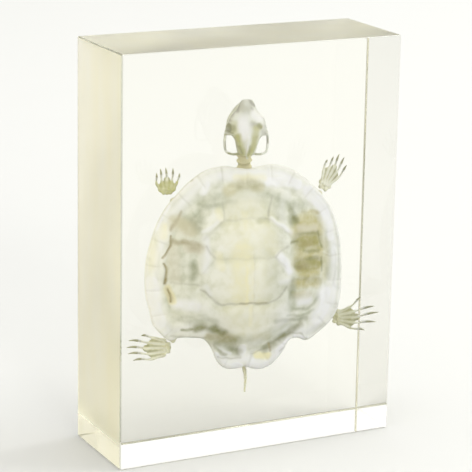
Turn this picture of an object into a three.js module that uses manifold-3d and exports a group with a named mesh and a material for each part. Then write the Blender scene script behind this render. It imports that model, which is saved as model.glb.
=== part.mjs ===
// A young turtle's dry skeleton sealed in a clear cast block, in millimetres with +Z up.
// The block stands on its bottom face, centred on the origin, with its broad front toward -Y.
import * as THREE from "three";
import { mergeVertices } from "three/addons/utils/BufferGeometryUtils.js";
import Module from "manifold-3d";

const wasm = await Module();
wasm.setup();

// The clear block, parted in two halves along the middle of its depth.
const BLOCK_WIDTH = 110;
const BLOCK_DEPTH = 39;
const BLOCK_HEIGHT = 150;

// How the skeleton sits in the block: back toward the front face, head up, turned and skewed a little.
const CENTRE_HEIGHT = 64;
const CENTRE_SHIFT = -0.3;
const TURN_DEG = -8;
const SKEW = -0.07;
const POCKET_GAP = 1.2;

// The skeleton is laid out flat: x to its right, y toward the head, z up through its back.
// The carapace's edge runs from the head end down its right side and back up its left.
const CARAPACE_EDGE = [
  [0, 38.9],
  [10, 40.4],
  [16, 39.2],
  [22, 36],
  [31, 28],
  [35, 21.2],
  [38.3, 6],
  [38.4, -9],
  [36.8, -16],
  [34, -19.8],
  [29.5, -23.6],
  [24.5, -26.1],
  [20.5, -24.8],
  [17.4, -25.4],
  [14.8, -29.6],
  [10.5, -34.6],
  [6, -36.6],
  [0, -35.2],
  [-7, -35.9],
  [-10, -34.4],
  [-13, -29],
  [-17, -24],
  [-25.5, -23.8],
  [-29.4, -25],
  [-33, -22.2],
  [-35.8, -18.8],
  [-38.6, -8],
  [-39, -1],
  [-37.2, 11],
  [-31.6, 24],
  [-22, 34.4],
  [-16, 38.2],
  [-9.5, 39.7],
];
const DOME_HEIGHT = 12;
const DOME_HALF_WIDTH = 38.6;
const DOME_HALF_LENGTH = 39.5;
const RIM_HEIGHT = 1.2;
const CARAPACE_THICKNESS = 1.4;

// Shallow hollows in the carapace, each from one point to another with a width.
const HOLLOW_DEPTH = 0.5;
const RIGHT_HOLLOWS = [
  [[19.6, 20.7], [26.6, 20.8], 4.4],
  [[19.6, 13.1], [27, 12.9], 5],
  [[19.8, 3.4], [27.4, 3.4], 5],
  [[19.4, -3.9], [27.2, -4], 4],
];
const LEFT_HOLLOWS = [
  [[-29.4, 14], [-32.7, 6.4], 1.2],
  [[-29, 13.1], [-20.4, 12.4], 1.4],
  [[-32, 4], [-32, -2.8], 1.2],
  [[-30.6, -5], [-29.6, -9.8], 1.3],
];
const END_HOLLOWS = [
  [[-7, 32.6], [7, 32.6], 2.6],
  [[-23, -19.3], [-11, -19.5], 1.8],
  [[-12.4, -25.4], [-4.5, -26.4], 3],
];

// The plastron's edge is a right-hand half, from the head end to the tail end.
const PLASTRON_EDGE = [
  [0, 30],
  [9, 29.5],
  [14.5, 23],
  [18, 16],
  [32, 13],
  [32.6, 0],
  [32, -10],
  [18, -14],
  [15.5, -22],
  [9, -30.5],
  [3, -31.5],
  [0, -29],
];
const BELLY_HEIGHT = -11;
const BRIDGE_HEIGHT = -0.7;
const BRIDGE_FROM = 15;
const BRIDGE_TO = 32;
const PLASTRON_THICKNESS = 1.5;

const HEAD_SHIFT = -0.7;
const SNOUT_Y = 64.6;
const NAPE_Y = 44.3;
const SKULL_HALF_WIDTH = 8.8;
const SKULL_HALF_HEIGHT = 4.3;
const SKULL_MIDDLE = 1.6;
const ORBIT_RADIUS = 2.6;
const CHEEK_RADIUS = 0.7;
const JAW_HINGE_Y = 51.4;
const NECK_BONES = 5;
const TAIL_BONES = 8;

// Limb joints, given for the right side where both sides are alike.
const SHOULDER = [10.5, 24, -3];
const ELBOW = [22, 20.5, -5];
const HIP = [9.5, -17, -3.4];
const KNEE = [22.5, -14.5, -5];
const WRISTS = { left: [-29.6, 28.4, -2.4], right: [30, 30, -2.4] };
const ANKLES = { left: [-28, -26.6, -2.6], right: [35.2, -17.6, -2.6] };

// Hands and feet, each with the point of every claw.
const HANDS = {
  left: {
    wrist: [-30.2, 29.4, -2.2],
    knuckles: [-30.4, 34.6, -1.6],
    halfWidth: 4.3,
    tips: [[-34.6, 37, -1.4], [-33.2, 38.6, -1.2], [-31.2, 39, -1], [-28.4, 38.8, -1], [-25.8, 37, -1.2]],
  },
  right: {
    wrist: [30.6, 31.2, -2.2],
    knuckles: [34.8, 39, -1.6],
    halfWidth: 3.9,
    tips: [[32, 42, -1.4], [34.4, 43.2, -1.2], [36.6, 44.2, -1], [38.7, 43, -1], [39.8, 40, -1.2]],
  },
};
const FEET = {
  left: {
    wrist: [-29.2, -28.4, -2.6],
    knuckles: [-38, -28.2, -1.8],
    halfWidth: 4.5,
    tips: [[-43, -32.6, -1.6], [-45, -30, -1.4], [-45.6, -27.6, -1.2], [-44.8, -25, -1.2], [-41, -23, -1.6]],
  },
  right: {
    wrist: [36.6, -18.5, -1.6],
    knuckles: [45, -17.8, 2.2],
    halfWidth: 4.8,
    tips: [[46.4, -9.8, 3.4], [51.8, -13.2, 5], [53.6, -15.6, 5.2], [52.6, -19.4, 5], [48.4, -22.8, 3.6]],
  },
};

const JOINT_GAP = 0.4;
const CARAPACE_STEPS = 48;
const PLASTRON_STEPS = 34;
const POCKET_STEPS = 32;

const BONE_WHITE = 0xe4e6dc;
const BONE_YELLOW = 0xc8c48c;
const NECK_BROWN = 0xbeb478;
const CLEAR_RESIN = 0xf2f5e6;

// Booleans

function solidOf(geometry) {
  const bare = geometry.clone();
  bare.deleteAttribute("normal");
  bare.deleteAttribute("uv");
  const merged = mergeVertices(bare, 1e-4);
  const vertProperties = new Float32Array(merged.attributes.position.array);
  const triVerts = new Uint32Array(merged.index.array);
  return new wasm.Manifold(new wasm.Mesh({ numProp: 3, vertProperties, triVerts }));
}

function geometryOf(solid) {
  const mesh = solid.getMesh();
  const geometry = new THREE.BufferGeometry();
  geometry.setAttribute("position", new THREE.BufferAttribute(mesh.vertProperties, 3));
  geometry.setIndex(new THREE.BufferAttribute(mesh.triVerts, 1));
  geometry.computeVertexNormals();
  return geometry;
}

function join(...geometries) {
  return geometryOf(geometries.map(solidOf).reduce((whole, piece) => whole.add(piece)));
}

function cut(geometry, ...cutters) {
  return geometryOf(cutters.map(solidOf).reduce((left, piece) => left.subtract(piece), solidOf(geometry)));
}

// Closed skins over rows of points

function enclosedVolume(points, triangles) {
  let sum = 0;
  const normal = new THREE.Vector3();
  for (let i = 0; i < triangles.length; i += 3) {
    const [a, b, c] = [0, 1, 2].map((k) => points[triangles[i + k]]);
    sum += a.dot(normal.crossVectors(b, c));
  }
  return sum / 6;
}

// Joins equal rings of points into one closed body, with a fan over each end.
function skin(rings) {
  const sides = rings[0].length;
  const points = rings.flat();
  const triangles = [];
  for (let ring = 0; ring + 1 < rings.length; ring++) {
    for (let side = 0; side < sides; side++) {
      const a = ring * sides + side;
      const b = ring * sides + ((side + 1) % sides);
      triangles.push(a, b, a + sides, b, b + sides, a + sides);
    }
  }
  const middleOf = (ring) => ring.reduce((sum, p) => sum.add(p), new THREE.Vector3()).divideScalar(sides);
  const first = points.push(middleOf(rings[0])) - 1;
  const last = points.push(middleOf(rings[rings.length - 1])) - 1;
  const lastRing = (rings.length - 1) * sides;
  for (let side = 0; side < sides; side++) {
    const next = (side + 1) % sides;
    triangles.push(first, next, side);
    triangles.push(last, lastRing + side, lastRing + next);
  }
  if (enclosedVolume(points, triangles) < 0) triangles.reverse();
  const geometry = new THREE.BufferGeometry().setFromPoints(points);
  geometry.setIndex(triangles);
  geometry.computeVertexNormals();
  return geometry;
}

// A tube through the points, with half its width and half its thickness given along its length.
function sweep(points, sectionAt, steps, sides) {
  const curve = new THREE.CatmullRomCurve3(points.map((p) => new THREE.Vector3(...p)));
  const upright = new THREE.Vector3(0, 0, 1);
  const sideways = new THREE.Vector3(1, 0, 0);
  const rings = [];
  for (let step = 0; step <= steps; step++) {
    const t = step / steps;
    const middle = curve.getPointAt(t);
    const ahead = curve.getTangentAt(t);
    const guide = Math.abs(ahead.z) > 0.8 ? sideways : upright;
    const across = new THREE.Vector3().crossVectors(ahead, guide).normalize();
    const lift = new THREE.Vector3().crossVectors(across, ahead);
    const [halfWidth, halfThickness] = sectionAt(t);
    const ring = [];
    for (let side = 0; side < sides; side++) {
      const angle = (side / sides) * 2 * Math.PI;
      const point = middle.clone();
      point.addScaledVector(across, halfWidth * Math.cos(angle));
      point.addScaledVector(lift, halfThickness * Math.sin(angle));
      ring.push(point);
    }
    rings.push(ring);
  }
  return skin(rings);
}

// A limb bone: a slim shaft that swells toward both ends and stops short of its joints.
function limbBone(from, to, endRadius, shaftRadius) {
  const start = new THREE.Vector3(...from);
  const end = new THREE.Vector3(...to);
  const pullBack = end.clone().sub(start).setLength(endRadius + JOINT_GAP);
  start.add(pullBack);
  end.sub(pullBack);
  const radiusAt = (t) => {
    const swell = Math.abs(2 * t - 1) ** 3;
    const rounding = t === 0 || t === 1 ? 0.6 : 1;
    return rounding * (shaftRadius + (endRadius - shaftRadius) * swell);
  };
  return sweep([start.toArray(), end.toArray()], (t) => [radiusAt(t), radiusAt(t)], 6, 7);
}

function ellipsoid([x, y, z], [halfX, halfY, halfZ]) {
  return new THREE.SphereGeometry(1, 11, 8).scale(halfX, halfY, halfZ).translate(x, y, z);
}

// An upright bar with round ends, taller than the shell.
function uprightBar([fromX, fromY], [toX, toY], width) {
  const turn = Math.atan2(toY - fromY, toX - fromX);
  const outline = new THREE.Shape();
  outline.absarc(fromX, fromY, width / 2, turn + Math.PI / 2, turn + (3 * Math.PI) / 2);
  outline.absarc(toX, toY, width / 2, turn - Math.PI / 2, turn + Math.PI / 2);
  const depth = 2 * DOME_HEIGHT;
  const bar = new THREE.ExtrudeGeometry(outline, { depth, bevelEnabled: false, curveSegments: 2 });
  return bar.translate(0, 0, -depth / 4);
}

// The shell

function bothSides(half) {
  const other = half.slice(1, -1).map(([x, y]) => [-x, y]);
  return [...half, ...other.reverse()];
}

function smoothEdge(corners, scale, steps) {
  const points = corners.map(([x, y]) => new THREE.Vector3(x * scale, y * scale, 0));
  const edge = new THREE.CatmullRomCurve3(points, true, "centripetal");
  return edge.getSpacedPoints(steps).slice(0, steps);
}

// A plate between two heights given by place, with rings at these shares of the way out to its edge.
function plate(edge, shares, topAt, bottomAt) {
  const ringAt = (heightAt) => (share) =>
    edge.map((p) => new THREE.Vector3(p.x * share, p.y * share, heightAt(p.x * share, p.y * share)));
  return skin([...shares.map(ringAt(topAt)), ...shares.toReversed().map(ringAt(bottomAt))]);
}

// The shell's upper face: a broad dome that flattens out toward the rim.
function domeHeight(x, y) {
  const share = Math.min(1, Math.hypot(x / DOME_HALF_WIDTH, y / DOME_HALF_LENGTH));
  return RIM_HEIGHT + (DOME_HEIGHT - RIM_HEIGHT) * (1 - share ** 2.2) ** 1.4;
}

function carapace() {
  const shares = [0.2, 0.44, 0.63, 0.78, 0.9, 1];
  const edge = smoothEdge(CARAPACE_EDGE, 1, CARAPACE_STEPS);
  const below = (drop) => (x, y) => domeHeight(x, y) - drop;
  const whole = plate(edge, shares, domeHeight, below(CARAPACE_THICKNESS));
  const underHollows = plate(edge, shares, below(HOLLOW_DEPTH), () => BELLY_HEIGHT);
  const bars = [...RIGHT_HOLLOWS, ...LEFT_HOLLOWS, ...END_HOLLOWS].map((place) => uprightBar(...place));
  return cut(whole, cut(join(...bars), underHollows));
}

function plastron() {
  const shares = [0.3, 0.62, 0.85, 1];
  const bottomAt = (x) => {
    const climb = THREE.MathUtils.smoothstep(Math.abs(x), BRIDGE_FROM, BRIDGE_TO);
    return THREE.MathUtils.lerp(BELLY_HEIGHT, BRIDGE_HEIGHT, climb);
  };
  const topAt = (x) => bottomAt(x) + PLASTRON_THICKNESS;
  return plate(smoothEdge(bothSides(PLASTRON_EDGE), 1, PLASTRON_STEPS), shares, topAt, bottomAt);
}

// The head, the neck and the tail

// A wedge from the snout to the braincase, with an arch on each side that frames the open temple.
function skull() {
  const spine = [
    [HEAD_SHIFT, SNOUT_Y, SKULL_MIDDLE - 0.8],
    [HEAD_SHIFT, NAPE_Y + 0.8, SKULL_MIDDLE],
  ];
  const face = (t) => Math.sqrt(Math.sin(Math.PI * Math.min(0.5, 0.05 + 0.75 * t)) ** 1.5);
  const waist = (t) => 1 - 0.68 * THREE.MathUtils.smoothstep(t, 0.58, 0.95);
  const widthAt = (t) => (SKULL_HALF_WIDTH - 1) * face(t) * waist(t);
  const heightAt = (t) => SKULL_HALF_HEIGHT * Math.sqrt(Math.sin(Math.PI * (0.08 + 0.8 * t)));
  const middle = sweep(spine, (t) => [widthAt(t), heightAt(t)], 10, 10);
  const orbits = [-1, 1].map((side) =>
    ellipsoid([HEAD_SHIFT + side * 7, 55, 3.2], [ORBIT_RADIUS, ORBIT_RADIUS, ORBIT_RADIUS]),
  );
  const arches = [-1, 1].map((side) => {
    const reach = SKULL_HALF_WIDTH - CHEEK_RADIUS;
    const path = [
      [HEAD_SHIFT + side * (reach - 2.2), 54, 1],
      [HEAD_SHIFT + side * reach, 50.4, 0.8],
      [HEAD_SHIFT + side * (reach - 0.4), 47, 0.8],
      [HEAD_SHIFT + side * (reach - 3), NAPE_Y + CHEEK_RADIUS, 1],
      [HEAD_SHIFT + side * 2, 46.6, 1.2],
    ];
    return sweep(path, () => [CHEEK_RADIUS, 1.5 * CHEEK_RADIUS], 8, 5);
  });
  const crestPath = [
    [HEAD_SHIFT, 51, SKULL_MIDDLE + 3],
    [HEAD_SHIFT, NAPE_Y - 1.1, SKULL_MIDDLE + 1.8],
  ];
  const crest = sweep(crestPath, (t) => [1.1 - 0.7 * t, 1.2 - 0.6 * t], 3, 6);
  return join(cut(middle, ...orbits), ...arches, crest);
}

function lowerJaw() {
  const halfWidth = SKULL_HALF_WIDTH - 1.6;
  const arch = [
    [HEAD_SHIFT - halfWidth, JAW_HINGE_Y, -3.4],
    [HEAD_SHIFT - halfWidth + 1, 56.5, -4],
    [HEAD_SHIFT, SNOUT_Y - 1.4, -3.4],
    [HEAD_SHIFT + halfWidth - 1, 56.5, -4],
    [HEAD_SHIFT + halfWidth, JAW_HINGE_Y, -3.4],
  ];
  return sweep(arch, () => [0.7, 0.9], 14, 5);
}

// A chain of small bones, each swelling in its middle, that tapers from root to tip.
function spineChain(path, boneCount, rootSize, tipSize, sides) {
  const sectionAt = (t) => {
    const swell = 0.78 + 0.22 * Math.cos(2 * Math.PI * boneCount * t + Math.PI);
    return [0, 1].map((axis) => swell * THREE.MathUtils.lerp(rootSize[axis], tipSize[axis], t));
  };
  return sweep(path, sectionAt, boneCount * 2, sides);
}

function neck() {
  const path = [
    [0, 27, -3.6],
    [-0.2, 34, -4.2],
    [-0.6, 40, -3.4],
    [HEAD_SHIFT, NAPE_Y - 0.7, -0.6],
  ];
  return spineChain(path, NECK_BONES, [3.2, 1.8], [3.4, 1.9], 8);
}

function tail() {
  const path = [
    [0, -25, -3.4],
    [0.2, -34, -3],
    [1.1, -40.5, -1.6],
    [0.8, -46, -1],
  ];
  return spineChain(path, TAIL_BONES, [1.7, 1.4], [0.5, 0.5], 6);
}

// The limbs

// A hand or foot: a flat body from the wrist to the knuckles, with a clawed digit for each tip.
function paw({ wrist, knuckles, halfWidth, tips }) {
  const start = new THREE.Vector3(...wrist);
  const end = new THREE.Vector3(...knuckles);
  const ahead = end.clone().sub(start).normalize();
  const across = new THREE.Vector3(ahead.y, -ahead.x, 0).normalize();
  const widthAt = (t) => halfWidth * (0.45 + 0.55 * Math.sin(Math.PI * (0.08 + 0.62 * t)));
  const bodySection = (t) => [widthAt(t), 1.3 - 0.4 * t];
  const body = sweep([wrist, knuckles], bodySection, 3, 8);
  const digits = tips.map((tip, index) => {
    const spread = THREE.MathUtils.lerp(-0.78, 0.78, index / (tips.length - 1));
    const root = end.clone().addScaledVector(across, spread * halfWidth).addScaledVector(ahead, -1.2);
    const bend = root.clone().lerp(new THREE.Vector3(...tip), 0.55);
    bend.z += 0.5;
    const radiusAt = (t) => 0.62 - 0.44 * t * t;
    return sweep([root.toArray(), bend.toArray(), tip], (t) => [radiusAt(t), radiusAt(t)], 3, 5);
  });
  return join(body, ...digits);
}

const mirrored = ([x, y, z], side) => [side === "left" ? -x : x, y, z];

// Three bars that meet at the shoulder: one up to the back, two along the belly.
function shoulderGirdle(side) {
  const socket = mirrored([8.8, 24.4, -3.2], side);
  const bars = [
    [mirrored([7, 23, 4.4], side), 1],
    [mirrored([3, 25.5, -7.4], side), 1],
    [mirrored([5.4, 14, -7.8], side), 1.7],
  ];
  const taper = (wide) => (t) => [1.1 + (wide - 1.1) * t, 1 - 0.3 * t];
  return join(...bars.map(([end, wide]) => sweep([socket, end], taper(wide), 3, 7)));
}

// Two hip bones, each rising to the back and reaching down to meet the other above the belly.
function pelvis() {
  const bars = ["left", "right"].flatMap((side) => {
    const socket = mirrored([7.6, -17.4, -3.6], side);
    return [
      sweep([socket, mirrored([4.6, -21.5, 3.4], side)], (t) => [1.3, 1.2 - 0.3 * t], 2, 6),
      sweep([socket, mirrored([-1, -11.5, -7.4], side)], (t) => [1.3 + 0.5 * t, 1], 2, 6),
      sweep([socket, mirrored([-1, -22.6, -7.2], side)], () => [1.2, 0.9], 2, 6),
    ];
  });
  return join(...bars);
}

// The resin block, with a pocket a little larger than the skeleton

function pocket() {
  const shares = [0.2, 0.5, 0.8, 1];
  const topAt = (x, y) => domeHeight(x, y) + POCKET_GAP;
  const bottomAt = () => BELLY_HEIGHT - POCKET_GAP;
  const reach = 1 + POCKET_GAP / 20;
  return join(
    plate(smoothEdge(CARAPACE_EDGE, reach, POCKET_STEPS), shares, topAt, bottomAt),
    ellipsoid([HEAD_SHIFT, 54.6, 0], [12, 15, 10.6]),
    ellipsoid([HEAD_SHIFT, 43, -2], [7, 9, 7]),
    ellipsoid([-30, 33.6, -1.6], [8, 9, 5.4]),
    ellipsoid([34.8, 36.8, -1.6], [8.4, 10.6, 5.4]),
    ellipsoid([-37, -28.4, -1.8], [12, 9, 6]),
    ellipsoid([44.2, -17, 1.4], [11.4, 11.4, 8.6]),
    ellipsoid([0.5, -39, -1.8], [4.4, 11, 5]),
  );
}

// The scene graph

const bone = (color) => new THREE.MeshStandardMaterial({ color, roughness: 0.6, metalness: 0 });
const resin = new THREE.MeshStandardMaterial({
  color: CLEAR_RESIN,
  roughness: 0.05,
  metalness: 0,
  transparent: true,
  opacity: 0.3,
});

function add(group, name, geometry, material) {
  const mesh = new THREE.Mesh(geometry, material);
  mesh.name = name;
  group.add(mesh);
}

const block = new THREE.Group();
const placed = new THREE.Group();
placed.position.set(CENTRE_SHIFT, 0, CENTRE_HEIGHT);
placed.rotation.z = THREE.MathUtils.degToRad(TURN_DEG);
block.add(placed);

const upright = new THREE.Group();
upright.rotation.x = Math.PI / 2;
placed.add(upright);

const skeleton = new THREE.Group();
skeleton.matrixAutoUpdate = false;
skeleton.matrix.makeShear(SKEW, 0, 0, 0, 0, 0);
upright.add(skeleton);

add(skeleton, "carapace", carapace(), bone(BONE_WHITE));
add(skeleton, "plastron", plastron(), bone(BONE_WHITE));
add(skeleton, "skull", skull(), bone(BONE_WHITE));
add(skeleton, "lower_jaw", lowerJaw(), bone(BONE_WHITE));
add(skeleton, "neck", neck(), bone(NECK_BROWN));
add(skeleton, "tail", tail(), bone(BONE_YELLOW));
add(skeleton, "pelvis", pelvis(), bone(BONE_WHITE));
for (const side of ["left", "right"]) {
  const shoulder = mirrored(SHOULDER, side);
  const elbow = mirrored(ELBOW, side);
  const hip = mirrored(HIP, side);
  const knee = mirrored(KNEE, side);
  add(skeleton, `${side}_shoulder_girdle`, shoulderGirdle(side), bone(BONE_WHITE));
  add(skeleton, `${side}_upper_arm`, limbBone(shoulder, elbow, 1.5, 0.9), bone(BONE_WHITE));
  add(skeleton, `${side}_forearm`, limbBone(elbow, WRISTS[side], 1.3, 0.9), bone(BONE_YELLOW));
  add(skeleton, `${side}_hand`, paw(HANDS[side]), bone(BONE_YELLOW));
  add(skeleton, `${side}_thigh`, limbBone(hip, knee, 1.5, 0.9), bone(BONE_WHITE));
  add(skeleton, `${side}_shin`, limbBone(knee, ANKLES[side], 1.3, 0.9), bone(BONE_YELLOW));
  add(skeleton, `${side}_foot`, paw(FEET[side]), bone(BONE_YELLOW));
}

block.updateMatrixWorld(true);
const hollow = pocket().applyMatrix4(skeleton.matrixWorld);
const halfDepth = BLOCK_DEPTH / 2;
const half = () => new THREE.BoxGeometry(BLOCK_WIDTH, halfDepth, BLOCK_HEIGHT);
const frontHalf = half().translate(0, -halfDepth / 2, BLOCK_HEIGHT / 2);
const backHalf = half().translate(0, halfDepth / 2, BLOCK_HEIGHT / 2);
add(block, "acrylic_block_front", cut(frontHalf, hollow), resin);
add(block, "acrylic_block_back", cut(backHalf, hollow), resin);

export default block;
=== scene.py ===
"""Dresses a turtle skeleton cast in a clear block: the block, every bone, and a pale studio stage."""

import math

import bmesh
import bpy
import numpy as np
from mathutils import Matrix, Vector
from mathutils.geometry import delaunay_2d_cdt


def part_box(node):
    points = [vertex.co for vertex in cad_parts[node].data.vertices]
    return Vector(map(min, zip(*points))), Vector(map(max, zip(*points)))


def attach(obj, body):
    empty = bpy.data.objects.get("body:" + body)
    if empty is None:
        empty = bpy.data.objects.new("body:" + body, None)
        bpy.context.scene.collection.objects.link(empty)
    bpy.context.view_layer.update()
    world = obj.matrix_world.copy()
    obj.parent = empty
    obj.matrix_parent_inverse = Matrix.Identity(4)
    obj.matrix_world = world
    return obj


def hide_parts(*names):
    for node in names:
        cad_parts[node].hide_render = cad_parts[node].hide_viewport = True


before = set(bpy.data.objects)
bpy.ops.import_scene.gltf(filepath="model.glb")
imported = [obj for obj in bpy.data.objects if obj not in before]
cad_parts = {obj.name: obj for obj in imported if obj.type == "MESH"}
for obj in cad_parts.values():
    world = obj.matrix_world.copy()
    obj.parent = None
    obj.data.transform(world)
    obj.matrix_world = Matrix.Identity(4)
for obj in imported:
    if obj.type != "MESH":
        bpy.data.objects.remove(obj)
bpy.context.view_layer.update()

bl_info = {
    "name": "Cast Turtle Skeleton",
    "version": (1, 0, 0),
    "blender": (4, 5, 0),
    "location": "View3D > Sidebar > Cast Skeleton",
    "description": "Dresses a turtle skeleton sealed in a clear block, on a pale stage",
    "category": "Add Mesh",
}

# Where the skeleton lies. It is laid out flat in millimetres, x to its right, y to its head and
# z up through its back, then stood up, turned and skewed as it sits in the block.
MM = 0.001
CENTRE_HEIGHT = 64.0
CENTRE_SHIFT = -0.3
TURN = math.radians(-8)
SKEW = -0.07
FLAT_TO_BLOCK = (
    Matrix.Scale(MM, 4)
    @ Matrix.Translation((CENTRE_SHIFT, 0, CENTRE_HEIGHT))
    @ Matrix.Rotation(TURN, 4, "Z")
    @ Matrix.Rotation(math.radians(90), 4, "X")
    @ Matrix(((1, 0, 0, 0), (SKEW, 1, 0, 0), (0, 0, 1, 0), (0, 0, 0, 1)))
)

# The block: which faces count as flat, how strongly each edge takes a painted shade, how satin its faces
# are, and where the satin clears near the foot, in millimetres.
FLAT_FACE = 0.999
SIDE_FACE = 0.1
BACK_EDGE_SHADE = 1.0
LEFT_EDGE_SHADE = 0.7
OTHER_EDGE_SHADE = 0.2
LEFT_SATIN = 1.0
TOP_SATIN = 0.45
SATIN_FOOT = (3, 20)
BEVEL_STEPS = 4

# Resin: the scale of its scuffs and upright streaks, how far each shows from clear to cloudy, and
# its faint dimples, with their depth in millimetres.
SCUFF_SCALE = 60.0
STREAK_SCALE = 90.0
STREAK_STRETCH = (1, 1, 0.2)
STREAK_SHARE = (0.3, 0.8)
SATIN_SHARE = (0.85, 1.15)
DIMPLE_STRENGTH = 0.02
DIMPLE_DEPTH = 0.5

# Carapace: its rim from the head down the right side and back up the left, and its dome.
CARAPACE_EDGE = [
    (0, 38.9), (4.5, 39.6), (10, 40.4), (16, 39.2), (22, 36), (27, 31.8), (31, 28), (35, 21.2),
    (37.2, 14), (38.3, 6), (38.6, -2), (38.4, -9), (36.8, -16), (34, -19.8), (29.5, -23.6),
    (24.5, -26.1), (20.5, -24.8), (17.4, -25.4), (14.8, -29.6), (10.5, -34.6), (6, -36.6),
    (2.4, -36), (0, -35.2), (-3, -35.8), (-7, -35.9), (-10, -34.4), (-11.7, -32), (-13, -29),
    (-14.8, -26), (-17, -24), (-21, -23.6), (-25.5, -23.8), (-29.4, -25), (-33, -22.2),
    (-35.8, -18.8), (-37.2, -13.4), (-38.6, -8), (-39, -1), (-38.6, 5), (-37.2, 11), (-35, 17.6),
    (-31.6, 24), (-27, 29.4), (-22, 34.4), (-16, 38.2), (-9.5, 39.7), (-4, 39.2),
]
CARAPACE_EDGE_STEPS = 440
CARAPACE_THICKNESS = 1.4
DOME_WIDTH = 38.6
DOME_LENGTH = 39.5
DOME_HEIGHT = 12.0
DOME_FLATNESS = 2.2
DOME_SKIRT = 1.4
RIM_HEIGHT = 1.2
EDGE_ROUND = 0.7
EDGE_BLUNTNESS = 0.06

# Relief of the carapace: its ring of rim plates, the middle panels between two long seams, the
# flanks beside them, the windows between the ribs, the keel and the turned-up rear rim. Widths
# and depths are in millimetres, and each pair of soft ends says where a form begins or fades.
FORM_BLUR = 1.2
RING_WIDTH = 6.6
RING_PLATES = 26
RING_SCALLOP = 0.6
SUTURE_WIDTH = 0.36
SUTURE_DEPTH = 0.25
GUTTER_OFFSET = 0.8
GUTTER_WIDTH = 1.1
GUTTER_DEPTH = 0.4
PLATE_LEFT = -18.6
PLATE_RIGHT = 17.2
PLATE_SEAM_ENDS = (25, -6)
PANEL_SLOPE = (0, 4.5)
FLANK_ENDS = ((-18, -12), (22, 28))
FLANK_DEPTH = 0.4
RIB_WINDOWS = [
    [(19.6, 20.7), (26.6, 20.8)], [(19.6, 13.1), (27, 12.9)], [(19.8, 3.4), (27.4, 3.4)],
    [(19.4, -3.9), (27.2, -4)],
]
WINDOW_STROKE = (1, 5, 1.6)
WINDOW_DEPTH = 0.45
SLIT_DEPTH = 0.5
KEEL_PLACE = -1.4
KEEL_WIDTH = 3.4
KEEL_ENDS = ((-26, -12), (17, 26))
FOLD_PITCH = 9
FOLD_UNEVENNESS = 0.6
FLARE_INSIDE = (0, 6)
FLARE_START = (22, 31)

# How strongly the forms of the carapace colour it, from 0 to 1, with places and widths in
# millimetres: a pale ring with a painted highlight on its bulge, a whiter rim, painted highlights
# on the raised panels, and painted shade in the gutter, on the flanks and along the seams. The ring
# and the gutter have a share between soft clouds and one in them.
CLOUD_PITCH = 12
RING_MIDDLE = 3.2
RING_MIDDLE_WIDTH = 2.4
RING_WHITE_AND_HIGHLIGHT = (0.5225, 0.95)
RIM_WHITE = 0.6
PANEL_FADE = (1.2, 5)
PANEL_HIGHLIGHT = 0.5
SUTURE_LINE = 0.26
GUTTER_SHADE = (0.42, 0.14)
FLANK_SHADE = 0.2
SEAM_SHADE = 0.25
SEAM_BLUR = 1.6
# The inside face of the carapace: ochre and olive, with a painted shade.
CARAPACE_INSIDE = {"shade": 0.3, "ochre": 0.55, "olive": 0.1}

# How a brush stroke is drawn: steps for each of its points, how far it wavers, and the shift and
# pitch of its two waves.
STROKE_STEPS = 6
STROKE_WAVER = 0.35
STROKE_WAVES = ((0, 5.1), (7, 4.3))
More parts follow.
